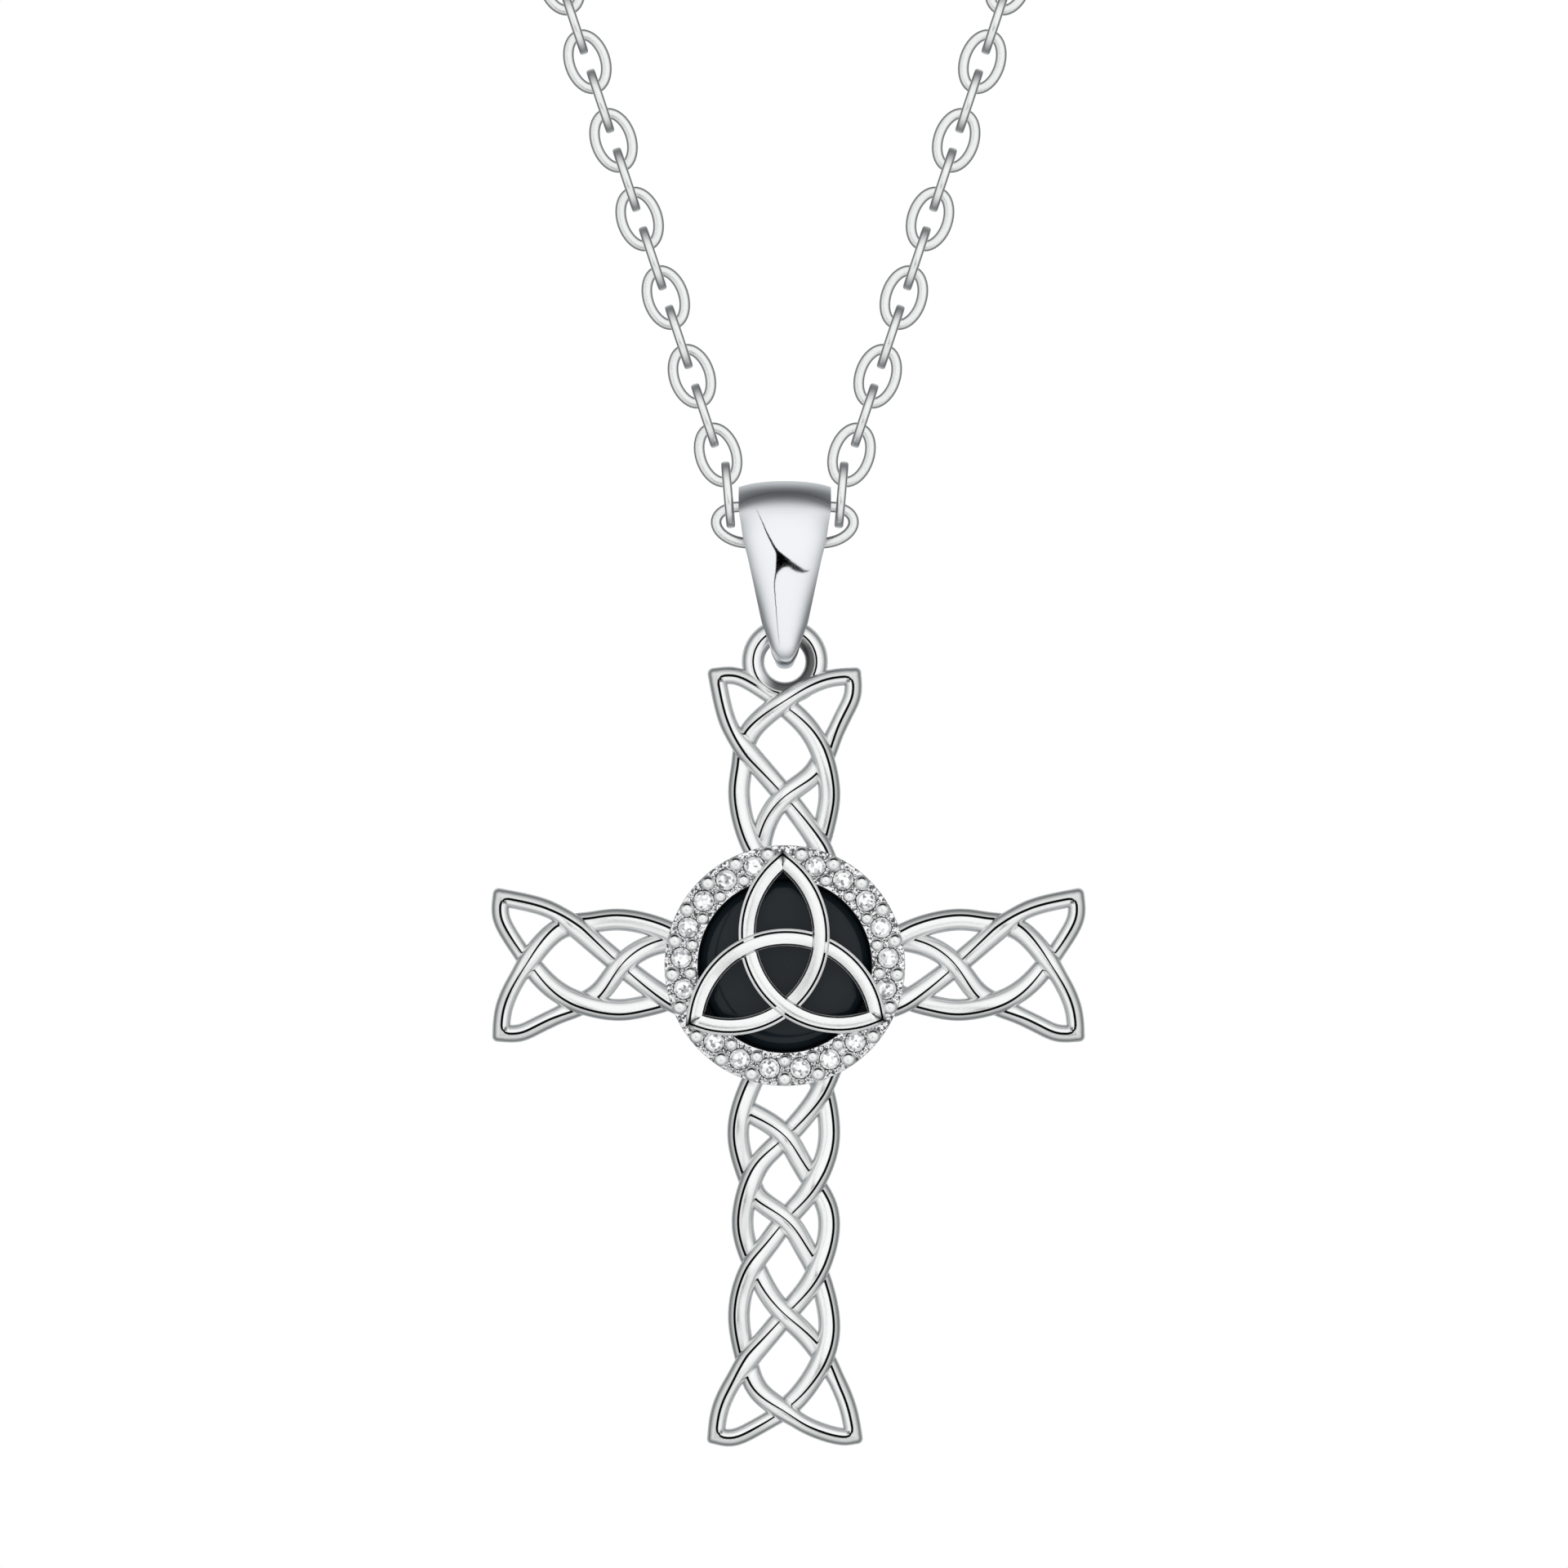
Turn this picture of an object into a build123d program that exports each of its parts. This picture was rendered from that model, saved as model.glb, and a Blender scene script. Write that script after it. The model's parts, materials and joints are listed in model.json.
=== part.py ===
from build123d import *

import os
from math import asin, cos, degrees, pi, radians, sin, sqrt, tan

# Celtic cross pendant on a cable chain, hanging as it does from a neck. Millimetres.
# +Z is up, the front of the cross faces -Y, and the origin is the underside of the clasp
# at the nape of the neck.

# Cross: reach of each arm from the middle of the ring to the bend of its two tips
REACH_LEFT = 9.58
REACH_RIGHT = 9.83
REACH_TOP = 9.76
REACH_BOTTOM = 15.89
ARM_HALF_WIDTH = 2.318
BOW_WIDTH = 0.74
TIP_WIDTH = 0.60
STRAND_DEPTH = 0.64
STRAND_LIFT = 0.17
TIP_TAPER = 2.04
TIP_BALL_R = 0.35

# Round setting in the middle of the cross, with its disc
HALO_OUTER_R = 4.06
HALO_INNER_R = 2.92
HALO_FRONT = 1.05
HALO_BACK = 0.72
LEDGE_WIDTH = 0.45
LEDGE_FRONT = 0.10
DISC_FRONT = 0.66
DISC_EDGE = 0.06
DISC_CLEARANCE = 0.04

# Cut stones round the setting: places are counted clockwise from the top
STONE_PLACES = 21
STONE_RING_R = 3.50
STONE_R = 0.34
STONE_RISE = 0.05
SEAT_CLEARANCE = 0.03
SEAT_DEPTH = 0.52
GIRDLE_THICKNESS = 0.04
BEAD_OUTER_RING_R = 3.83
BEAD_INNER_RING_R = 3.25
BEAD_OUTER_R = 0.22
BEAD_INNER_R = 0.17
BEAD_RISE = 0.05

# Three-cornered knot on the front of the setting
TRIQUETRA_OFFSET = 2.124
TRIQUETRA_ARC_R = 3.085
TRIQUETRA_BAND = 0.61
TRIQUETRA_THICKNESS = 0.42
TRIQUETRA_RISE = 0.10
TRIQUETRA_TURN = 1.2
TRIQUETRA_SINK = 0.08

# Hanging ring, soldered behind the top arm
RING_WIRE = 0.76
RING_MEAN_R = 1.072
RING_HEIGHT = 10.26
ARM_FORWARD = 0.20

# Bail
BAIL_HEIGHT = 6.35
BAIL_WIDTH = 3.12
CROWN_R = 1.65
CROWN_WALL = 0.53
CROWN_ARCH = 0.22
OUTLINE_PLAY = 0.06
EYE_PLAY = 0.34
EYE_WALL = 0.36
EYE_FLOOR = 0.60

# Chain
CHAIN_LENGTH = 457.0
LINK_PITCH = 1.40
LINK_WIRE = 0.37
LINK_WIDTH = 1.57
LINK_PLAY = 0.12
LINKS_EACH_SIDE = 16
CROWN_LINK_LEAN = 10.0
EDGE_LINK_LEAN = 85.0
STRAND_LEAN = 71.6
TUBE_GAP = 0.12

# Clasp
CLASP_R = 1.10
CLASP_LENGTH = 7.0
CLASP_ROUNDING = 0.45
CLASP_LOOP_R = 0.60
CLASP_LOOP_WIRE = 0.40
CLASP_LOOP_SEAT = 0.45

# Strands of a short arm, from the tip inwards. along: % of the way from the hidden start
# to the tip; across: % of the arm's half width; level: 1 passes over, -1 passes under
SHORT_STRANDS = {
    "first": [
        (100.0, -98.8, 0.0), (75.5, -83.1, 0.5), (61.2, -59.3, 1.0),
        (35.1, 0.1, -1.0), (9.2, 49.6, 1.0), (0.0, 60.7, 1.0),
    ],
    "second": [
        (100.0, 98.8, 0.0), (97.9, 57.1, 0.3), (85.4, -5.1, 1.0), (70.8, -48.8, 0.0),
        (61.2, -59.3, -1.0), (51.3, -62.5, -0.6), (37.2, -66.7, 0.0), (15.9, -56.0, 0.6),
        (0.0, -36.9, 1.0),
    ],
    "third": [
        (100.0, -98.8, 0.0), (100.3, -73.6, -0.2), (96.2, -47.4, -0.5), (85.4, -5.1, -1.0),
        (71.8, 33.7, 0.0), (56.0, 55.6, 1.0), (37.2, 65.0, 0.4), (24.0, 60.7, -0.4),
        (9.2, 49.6, -1.0), (0.0, 36.9, -1.0),
    ],
    "fourth": [
        (100.0, 98.8, 0.0), (90.2, 98.7, -0.2), (79.4, 86.2, -0.5), (56.0, 55.6, -1.0),
        (45.1, 34.8, 0.0), (35.1, 0.1, 1.0), (22.7, -24.2, 0.3), (11.5, -33.9, -0.6),
        (0.0, -39.3, -1.0),
    ],
}

# Strands of the long arm, a flat plait of four, with the same columns
LONG_STRANDS = {
    "first": [
        (100.0, -100.0, 0.0), (100.5, -76.0, -0.3), (97.9, -42.5, -0.7), (93.3, -1.7, -1.0),
        (87.3, 30.1, 0.0), (79.1, 55.8, 1.0), (69.6, 64.8, 0.0), (56.4, 47.0, -1.0),
        (49.5, 27.3, 0.0), (42.6, 1.7, 1.0), (37.2, -36.9, 0.0), (32.8, -50.1, -1.0),
        (23.7, -65.7, 0.0), (15.0, -65.2, 1.0), (6.4, -48.8, 0.5), (0.0, -32.1, 0.0),
    ],
    "second": [
        (100.0, -100.0, 0.0), (91.5, -91.4, 0.5), (80.3, -55.5, 1.0), (74.0, -27.0, 0.0),
        (67.9, 1.2, -1.0), (61.7, 29.8, 0.0), (56.4, 47.0, 1.0), (48.4, 62.0, 0.3),
        (39.8, 61.9, -0.4), (33.0, 42.5, -1.0), (26.1, 19.8, 0.0), (20.6, 1.2, 1.0),
        (16.3, -28.6, 0.0), (13.2, -61.9, -1.0),
    ],
    "third": [
        (100.0, 100.0, 0.0), (91.1, 89.2, -0.3), (79.1, 55.8, -1.0), (72.3, 26.2, 0.0),
        (67.9, 1.2, 1.0), (62.3, -23.6, 0.0), (54.3, -45.7, -1.0), (44.0, -61.5, 0.0),
        (32.8, -50.1, 1.0), (26.8, -32.9, 0.0), (20.6, 1.2, -1.0), (13.1, 36.7, 0.0),
        (7.8, 54.6, 1.0), (0.7, 71.4, 1.0),
    ],
    "fourth": [
        (100.0, 100.0, 0.0), (100.2, 82.3, 0.2), (97.4, 34.0, 0.7), (93.3, -1.7, 1.0),
        (88.0, -38.2, 0.2), (80.3, -55.5, -1.0), (70.1, -66.5, 0.0), (61.4, -61.9, 0.6),
        (54.3, -45.7, 1.0), (49.0, -24.4, 0.0), (42.6, 1.7, -1.0), (37.7, 25.0, 0.0),
        (33.0, 42.5, 1.0), (24.5, 61.7, 0.3), (15.9, 63.8, -0.4), (7.8, 54.6, -1.0),
        (0.7, 39.3, -1.0),
    ],
}

# Arms. start: where the strands begin, counted out from the middle of the setting's band
ARMS = [
    {"along": (-1, 0, 0), "across": (0, 0, -1), "start": -0.15, "reach": REACH_LEFT,
     "strands": SHORT_STRANDS},
    {"along": (1, 0, 0), "across": (0, 0, -1), "start": 0.10, "reach": REACH_RIGHT,
     "strands": SHORT_STRANDS},
    {"along": (0, 0, 1), "across": (1, 0, 0), "start": 0.03, "reach": REACH_TOP,
     "strands": SHORT_STRANDS},
    {"along": (0, 0, -1), "across": (1, 0, 0), "start": -0.32, "reach": REACH_BOTTOM,
     "strands": LONG_STRANDS},
]

# Facets of a brilliant cut. slope: degrees from flat; reach: distance of the facet's plane
# from the stone's middle, as a share of the girdle's radius; below: on the underside
FACET_TIERS = [
    {"count": 8, "turn": 0.0, "slope": 34.0, "reach": 0.570, "below": False},
    {"count": 16, "turn": 11.25, "slope": 41.0, "reach": 0.664, "below": False},
    {"count": 8, "turn": 0.0, "slope": 41.0, "reach": 0.664, "below": True},
    {"count": 16, "turn": 11.25, "slope": 43.0, "reach": 0.690, "below": True},
]
TABLE_SHARE = 0.30
CULET_SHARE = 0.84

# Outline of the bail from the front. drop: % of its height below the top; half: % of half width
BAIL_OUTLINE = [
    {"drop": 7.0, "half": 100.0},
    {"drop": 14.8, "half": 98.2},
    {"drop": 29.1, "half": 91.2},
    {"drop": 53.9, "half": 69.3},
    {"drop": 77.4, "half": 49.1},
    {"drop": 87.8, "half": 34.2},
]


def link_route():
    """Middles and directions of the links on the right of the bail, from its middle link.

    Each link turns about its inner end, which sits a wire and a little play inside the
    outer end of the link before it.
    """
    end_reach = (LINK_PITCH + LINK_PLAY + LINK_WIRE) / 2
    seat = end_reach - LINK_WIRE - LINK_PLAY
    leans = [0.0, CROWN_LINK_LEAN, EDGE_LINK_LEAN]
    leans += [STRAND_LEAN] * (LINKS_EACH_SIDE - 2)
    middle = (0.0, 0.0)
    route = []
    last = None
    for lean in leans:
        way = (cos(radians(lean)), sin(radians(lean)))
        if last is not None:
            middle = (
                middle[0] + last[0] * seat + way[0] * end_reach,
                middle[1] + last[1] * seat + way[1] * end_reach,
            )
        route.append((middle, way))
        last = way
    return route, end_reach


# Sizes worked out from the ones above
link_places, link_end = link_route()
last_middle, strand_way = link_places[-1]
tube_lead = link_end + LINK_WIRE / 2 + TUBE_GAP
tube_start = (
    last_middle[0] + strand_way[0] * tube_lead,
    last_middle[1] + strand_way[1] * tube_lead,
)
clasp_loop_x = CLASP_LENGTH / 2 + CLASP_LOOP_SEAT
clasp_half = clasp_loop_x + CLASP_LOOP_R + CLASP_LOOP_WIRE / 2 + TUBE_GAP
lean_off_plumb = radians(90.0 - STRAND_LEAN)
neck_turn = pi / 2 + lean_off_plumb
front_half = LINK_PITCH * (LINKS_EACH_SIDE + 0.5) + TUBE_GAP
NECK_R = (
    CHAIN_LENGTH / 2 - front_half - clasp_half - (clasp_half - tube_start[0]) / sin(lean_off_plumb)
) / (neck_turn + 1 / tan(lean_off_plumb))
strand_run = (clasp_half + NECK_R * cos(lean_off_plumb) - tube_start[0]) / sin(lean_off_plumb)
bend_start = (
    tube_start[0] + strand_run * strand_way[0],
    tube_start[1] + strand_run * strand_way[1],
)
loop_height = bend_start[1] + NECK_R * sin(lean_off_plumb) + NECK_R
BAIL_AXIS_Z = CLASP_R - loop_height
ring_top_drop = BAIL_HEIGHT - CROWN_R - EYE_FLOOR - EYE_PLAY - RING_WIRE / 2
EYE_Z = BAIL_AXIS_Z - ring_top_drop
RING_Z = EYE_Z - RING_MEAN_R
CROSS_Z = RING_Z - RING_HEIGHT

halo_middle_r = (HALO_OUTER_R + HALO_INNER_R) / 2


def front_plane(forward):
    """Plane that faces the viewer, this far in front of the middle of the cross's arms."""
    return Plane(origin=(0, -ARM_FORWARD - forward, CROSS_Z), x_dir=(1, 0, 0), z_dir=(0, -1, 0))


def strand_points(arm, rows):
    """Middle line of one strand, with its dips under and rises over the others."""
    start = halo_middle_r + arm["start"]
    points = []
    for along, across, level in rows:
        out = start + (arm["reach"] - start) * along / 100
        side = ARM_HALF_WIDTH * across / 100
        points.append(
            Vector(0, -ARM_FORWARD - STRAND_LIFT * level, CROSS_Z)
            + Vector(*arm["along"]) * out
            + Vector(*arm["across"]) * side
        )
    return points


def strand_width(share, length):
    """Width of a strand at this share of its length from the tip, full past its taper."""
    blend = min(1.0, share * length / TIP_TAPER)
    return TIP_WIDTH + (BOW_WIDTH - TIP_WIDTH) * blend


# Cross: knotwork arms, setting, three-cornered knot and hanging ring, soldered into one
tip_points = []
with BuildPart() as cross:
    for arm in ARMS:
        for rows in arm["strands"].values():
            points = strand_points(arm, rows)
            with BuildLine() as strand_line:
                Spline(*points)
            strand = strand_line.edges()[0]
            if all((points[0] - point).length > TIP_BALL_R for point in tip_points):
                tip_points.append(points[0])
            sections = 2 * len(rows)
            for step in range(sections + 1):
                share = step / sections
                way = strand.tangent_at(share)
                side_way = way.cross(Vector(0, 1, 0))
                section = Plane(origin=strand.position_at(share), x_dir=side_way, z_dir=way)
                with BuildSketch(section):
                    Ellipse(strand_width(share, strand.length) / 2, STRAND_DEPTH / 2)
            loft()
    # Balls of solder where two strands meet at a tip
    with Locations(*[Location(point) for point in tip_points]):
        Sphere(TIP_BALL_R)

    # Band of the setting, with the ledge that the disc lies on
    with BuildSketch(front_plane(-HALO_BACK)):
        Circle(HALO_OUTER_R)
        Circle(HALO_INNER_R - LEDGE_WIDTH, mode=Mode.SUBTRACT)
    extrude(amount=HALO_BACK + HALO_FRONT)
    with BuildSketch(front_plane(LEDGE_FRONT)):
        Circle(HALO_INNER_R)
    extrude(amount=HALO_FRONT, mode=Mode.SUBTRACT)

    # Seats of the stones, left out where the knot's tips are soldered down
    open_places = [place for place in range(STONE_PLACES) if place % (STONE_PLACES // 3)]
    stone_step = 360 / STONE_PLACES
    with BuildSketch(front_plane(HALO_FRONT - SEAT_DEPTH)):
        for place in open_places:
            with PolarLocations(STONE_RING_R, 1, start_angle=90 - place * stone_step):
                Circle(STONE_R + SEAT_CLEARANCE)
    extrude(amount=2 * SEAT_DEPTH, mode=Mode.SUBTRACT)

    # Bead prongs between the stones
    bead_plane = front_plane(HALO_FRONT + BEAD_RISE)
    for ring_r, bead_r in ((BEAD_OUTER_RING_R, BEAD_OUTER_R), (BEAD_INNER_RING_R, BEAD_INNER_R)):
        for place in range(STONE_PLACES):
            turn = radians(90 - (place + 0.5) * stone_step)
            with Locations(bead_plane.from_local_coords((ring_r * cos(turn), ring_r * sin(turn), 0))):
                Sphere(bead_r)

    # Three-cornered knot: three bands, each bent about a middle of its own
    knot_base = front_plane(HALO_FRONT - TRIQUETRA_SINK)
    tip_reach = (TRIQUETRA_OFFSET + sqrt(4 * TRIQUETRA_ARC_R**2 - 3 * TRIQUETRA_OFFSET**2)) / 2
    half_span = degrees(asin(tip_reach * sqrt(3) / 2 / TRIQUETRA_ARC_R))
    with BuildSketch(knot_base):
        for corner in range(3):
            turn = 150 + 120 * corner + TRIQUETRA_TURN
            middle = (
                TRIQUETRA_OFFSET * cos(radians(turn)),
                TRIQUETRA_OFFSET * sin(radians(turn)),
            )
            with BuildLine() as band_line:
                CenterArc(middle, TRIQUETRA_ARC_R, turn + 180 - half_span, 2 * half_span)
            trace(line_width=TRIQUETRA_BAND)
    extrude(amount=TRIQUETRA_SINK + TRIQUETRA_RISE + TRIQUETRA_THICKNESS)

    with Locations(Location((0, 0, RING_Z), (90, 0, 0))):
        Torus(RING_MEAN_R, RING_WIRE / 2)
cross.part.label = "cross"

# Black disc, clear of the band and lying just above its ledge
with BuildPart() as onyx_disc:
    with BuildSketch(front_plane(LEDGE_FRONT + DISC_CLEARANCE)):
        Circle(HALO_INNER_R - DISC_CLEARANCE)
    extrude(amount=DISC_FRONT - LEDGE_FRONT - DISC_CLEARANCE)
    chamfer(onyx_disc.faces().sort_by(Axis.Y)[0].edges(), DISC_EDGE)
onyx_disc.part.label = "onyx_disc"


def cut_stone():
    """A brilliant: table, culet and two tiers of facets above and below the girdle."""
    depth = 2 * STONE_R
    with BuildPart() as stone:
        Cylinder(STONE_R, 2 * depth)
        split(bisect_by=Plane.XY.offset(TABLE_SHARE * STONE_R), keep=Keep.BOTTOM)
        split(bisect_by=Plane.XY.offset(-CULET_SHARE * STONE_R), keep=Keep.TOP)
        for tier in FACET_TIERS:
            sign = -1 if tier["below"] else 1
            slope = radians(tier["slope"])
            for number in range(tier["count"]):
                turn = radians(tier["turn"] + number * 360 / tier["count"])
                normal = Vector(
                    sin(slope) * cos(turn), sin(slope) * sin(turn), sign * cos(slope)
                )
                reach = tier["reach"] * STONE_R + GIRDLE_THICKNESS / 2 * cos(slope)
                split(bisect_by=Plane(origin=normal * reach, z_dir=normal), keep=Keep.BOTTOM)
    return stone.part


master_stone = cut_stone()
stones = []
for number, place in enumerate(open_places, start=1):
    turn = radians(90 - place * stone_step)
    middle = (STONE_RING_R * cos(turn), STONE_RING_R * sin(turn), 0)
    seat = front_plane(HALO_FRONT + STONE_RISE).from_local_coords(middle)
    with BuildPart() as stone_piece:
        with Locations(Plane(origin=seat, x_dir=(cos(turn), 0, sin(turn)), z_dir=(0, -1, 0))):
            add(master_stone)
    stone_piece.part.label = f"stone_{number:02d}"
    stones.append(stone_piece.part)

# Bail: a closed loop round the chain above and the hanging ring below
half_bail = BAIL_WIDTH / 2
bail_top = BAIL_AXIS_Z + CROWN_R
bail_tip = bail_top - BAIL_HEIGHT
eye_inner_r = RING_WIRE / 2 + EYE_PLAY
eye_outer_r = eye_inner_r + EYE_WALL
with BuildPart() as bail:
    with BuildSketch(Plane.YZ):
        with Locations((0, BAIL_AXIS_Z)):
            Circle(CROWN_R)
        with Locations((0, bail_tip + eye_outer_r)):
            Circle(eye_outer_r)
        make_hull()
    extrude(amount=half_bail, both=True)
    with BuildSketch(Plane.YZ):
        with Locations((0, BAIL_AXIS_Z)):
            Circle(CROWN_R - CROWN_WALL)
        with Locations((0, EYE_Z)):
            Circle(eye_inner_r)
        make_hull()
    extrude(amount=half_bail, both=True, mode=Mode.SUBTRACT)
    right_side = [
        (half_bail * row["half"] / 100, bail_top - BAIL_HEIGHT * row["drop"] / 100)
        for row in BAIL_OUTLINE
    ]
    left_side = [(-x, z) for x, z in reversed(right_side)]
    crown_edge = bail_top - CROWN_ARCH
    with BuildSketch(Plane.XZ):
        with BuildLine():
            ThreePointArc(
                (-half_bail, crown_edge), (0, bail_top + OUTLINE_PLAY), (half_bail, crown_edge)
            )
            Line((half_bail, crown_edge), right_side[0])
            Spline(*right_side)
            ThreePointArc(right_side[-1], (0, bail_tip - OUTLINE_PLAY), left_side[0])
            Spline(*left_side)
            Line(left_side[-1], (-half_bail, crown_edge))
        make_face()
    extrude(amount=2 * CROWN_R, both=True, mode=Mode.INTERSECT)
bail.part.label = "bail"


# Links of the chain on both sides of the bail, alternately edge on and facing the front
link_bend_r = (LINK_WIDTH - LINK_WIRE) / 2
link_straight = 2 * (link_end - link_bend_r)
with BuildPart() as chain_front:
    for side in (1, -1):
        for number, (middle, way) in enumerate(link_places):
            if number == 0 and side == -1:
                continue
            along = Vector(side * way[0], 0, way[1])
            across = Vector(0, 1, 0) if number % 2 == 0 else along.cross(Vector(0, 1, 0))
            link_plane = Plane(
                origin=(side * middle[0], 0, BAIL_AXIS_Z + middle[1]),
                x_dir=along,
                z_dir=along.cross(across),
            )
            with BuildLine(link_plane) as link_line:
                Line((-link_straight / 2, link_bend_r), (link_straight / 2, link_bend_r))
                ThreePointArc(
                    (link_straight / 2, link_bend_r),
                    (link_straight / 2 + link_bend_r, 0),
                    (link_straight / 2, -link_bend_r),
                )
                Line((link_straight / 2, -link_bend_r), (-link_straight / 2, -link_bend_r))
                ThreePointArc(
                    (-link_straight / 2, -link_bend_r),
                    (-link_straight / 2 - link_bend_r, 0),
                    (-link_straight / 2, link_bend_r),
                )
            wire_start = link_plane.from_local_coords((0, link_bend_r, 0))
            with BuildSketch(Plane(origin=wire_start, z_dir=along)):
                Circle(LINK_WIRE / 2)
            sweep(path=link_line.wires()[0])
chain_front.part.label = "chain_front"

# The rest of the chain: a tube as wide as the links, straight and then round the neck
with BuildPart() as chain_back:
    for side in (1, -1):
        start = (side * tube_start[0], BAIL_AXIS_Z + tube_start[1])
        bend = (side * bend_start[0], BAIL_AXIS_Z + bend_start[1])
        way = (side * strand_way[0], strand_way[1])
        with BuildLine(Plane.XZ) as tube_line:
            Line(start, bend)
            JernArc(start=bend, tangent=way, radius=NECK_R, arc_size=side * degrees(neck_turn))
        with BuildSketch(Plane(origin=(start[0], 0, start[1]), z_dir=(way[0], 0, way[1]))):
            Circle(LINK_WIDTH / 2)
        sweep(path=tube_line.wires()[0])
chain_back.part.label = "chain_back"

# Clasp: one plain barrel with a loop at each end, at the nape of the neck
with BuildPart() as clasp:
    with Locations(Location((0, 0, CLASP_R), (0, 90, 0))):
        Cylinder(CLASP_R, CLASP_LENGTH)
    fillet(clasp.edges().filter_by(GeomType.CIRCLE), CLASP_ROUNDING)
    for side in (1, -1):
        with Locations(Location((side * clasp_loop_x, 0, CLASP_R), (90, 0, 0))):
            Torus(CLASP_LOOP_R, CLASP_LOOP_WIRE / 2)
clasp.part.label = "clasp"

os.makedirs("parts", exist_ok=True)
for piece in [
    cross.part, onyx_disc.part, bail.part, chain_front.part, chain_back.part, clasp.part, *stones
]:
    export_step(piece, f"parts/{piece.label}.step")
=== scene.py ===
"""Looks of the silver Celtic cross pendant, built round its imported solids.

Sizes are in millimetres and become metres where a mesh is made. +Z is up and the
front of the cross faces -Y.
"""
import json
import math

import bmesh
import bpy
import numpy as np
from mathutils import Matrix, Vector


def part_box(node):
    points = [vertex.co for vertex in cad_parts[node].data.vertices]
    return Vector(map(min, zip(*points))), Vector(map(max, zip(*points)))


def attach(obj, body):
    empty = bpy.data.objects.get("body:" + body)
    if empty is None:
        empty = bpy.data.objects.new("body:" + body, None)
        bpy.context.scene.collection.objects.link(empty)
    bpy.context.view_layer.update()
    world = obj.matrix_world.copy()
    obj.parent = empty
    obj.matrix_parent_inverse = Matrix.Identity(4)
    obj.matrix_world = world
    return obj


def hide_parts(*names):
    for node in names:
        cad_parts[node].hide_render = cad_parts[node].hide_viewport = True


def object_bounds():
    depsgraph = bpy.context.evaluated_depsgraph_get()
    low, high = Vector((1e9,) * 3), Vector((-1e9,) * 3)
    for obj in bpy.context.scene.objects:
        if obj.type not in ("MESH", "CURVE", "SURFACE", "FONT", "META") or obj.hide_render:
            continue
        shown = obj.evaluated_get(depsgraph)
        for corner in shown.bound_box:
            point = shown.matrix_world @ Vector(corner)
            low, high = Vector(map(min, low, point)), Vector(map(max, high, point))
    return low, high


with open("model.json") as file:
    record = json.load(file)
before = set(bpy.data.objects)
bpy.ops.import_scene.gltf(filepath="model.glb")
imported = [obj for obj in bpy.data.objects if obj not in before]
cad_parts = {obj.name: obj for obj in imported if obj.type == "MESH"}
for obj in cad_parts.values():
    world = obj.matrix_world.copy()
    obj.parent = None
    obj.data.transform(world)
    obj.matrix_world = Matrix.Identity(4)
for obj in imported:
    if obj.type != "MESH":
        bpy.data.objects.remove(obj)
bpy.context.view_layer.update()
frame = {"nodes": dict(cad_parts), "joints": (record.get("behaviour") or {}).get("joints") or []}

MM = 0.001
joints = {joint["name"]: joint for joint in frame["joints"]}


def frame_mm(point):
    """A place of the frame, in millimetres."""
    return np.array(point, float) / MM


BAIL_AXIS = frame_mm(joints["bail_swing"]["pos_m"])
EYE = frame_mm(joints["cross_swing"]["pos_m"])
disc_low, disc_high = (frame_mm(corner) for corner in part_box("onyx_disc"))
bail_low, bail_high = (frame_mm(corner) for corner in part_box("bail"))
clasp_low, clasp_high = (frame_mm(corner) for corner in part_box("clasp"))
chain_high = frame_mm(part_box("chain_back")[1])

# Middle of the cross, in the plane of its arms
ARM_FORWARD = 0.20
CROSS = np.array([
    (disc_low[0] + disc_high[0]) / 2, -ARM_FORWARD, (disc_low[2] + disc_high[2]) / 2
])
FRONT = np.array([0.0, -1.0, 0.0])

# Knotwork: the strands and their painted black line
ARM_HALF_WIDTH = 2.318
BOW_WIDTH = 0.74
STRAND_DEPTH = 0.64
STRAND_LIFT = 0.17
LINE_WIDTH = 0.092
LINE_DEPTH = 0.09
LINE_OFFSET = 0.15
# Sideways place past which a strand is wholly in its bow
BOW_SIDE = 1.2
# Painted grey shade on the flank outside the line
FLANK_SHADE = 0.20
# The mitred tips, and how far from the corner's middle they are rounded off
TIP_WIDTH = 0.60
TIP_CORNER = 0.345
TIP_STEPS = 13
# Near the tip the line cuts the corner and is shallower
TIP_LINE_CUT = 0.10
TIP_LINE_RUN = 0.30
TIP_LINE_RISE = 0.85
# Distances from the tip over which the strand widens, the line leaves the strand's middle, and
# the flank's painted grey shade moves from the corner's outer side to the bow's
WIDTH_RUN = (1.9, 2.9)
LINE_RUN = (1.6, 3.2)
FLANK_RUN = (1.2, 2.6)
# Sections on either side of a corner that could cross its mitre
TIP_MITRE_REACH = 6
KNOT_MITRE_REACH = 14

# Round setting
HALO_OUTER_R = 4.06
HALO_INNER_R = 2.92
HALO_FRONT = 1.05
HALO_BACK = 0.72
HALO_EDGE = 0.08
LEDGE_WIDTH = 0.45
LEDGE_FRONT = 0.10
STONE_PLACES = 21
STONE_RING_R = 3.50
SEAT_R = 0.356
SEAT_FOOT_R = 0.20
SEAT_DEPTH = 0.52

# Three-cornered knot
KNOT_OFFSET = 2.124
KNOT_ARC_R = 3.085
KNOT_TURN = 1.2
KNOT_BAND = 0.61
KNOT_BACK = 0.97
KNOT_FRONT = 1.50
KNOT_LIFT = 0.06
KNOT_CORNER_R = 3.03

# Hanging ring, and its line as shares of the wire's radius
RING_WIRE = 0.76
RING_MEAN_R = 1.072
RING_STEPS = 96
RING_LINE_HALF = 0.09
RING_LINE_DEPTH = 0.18
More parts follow.
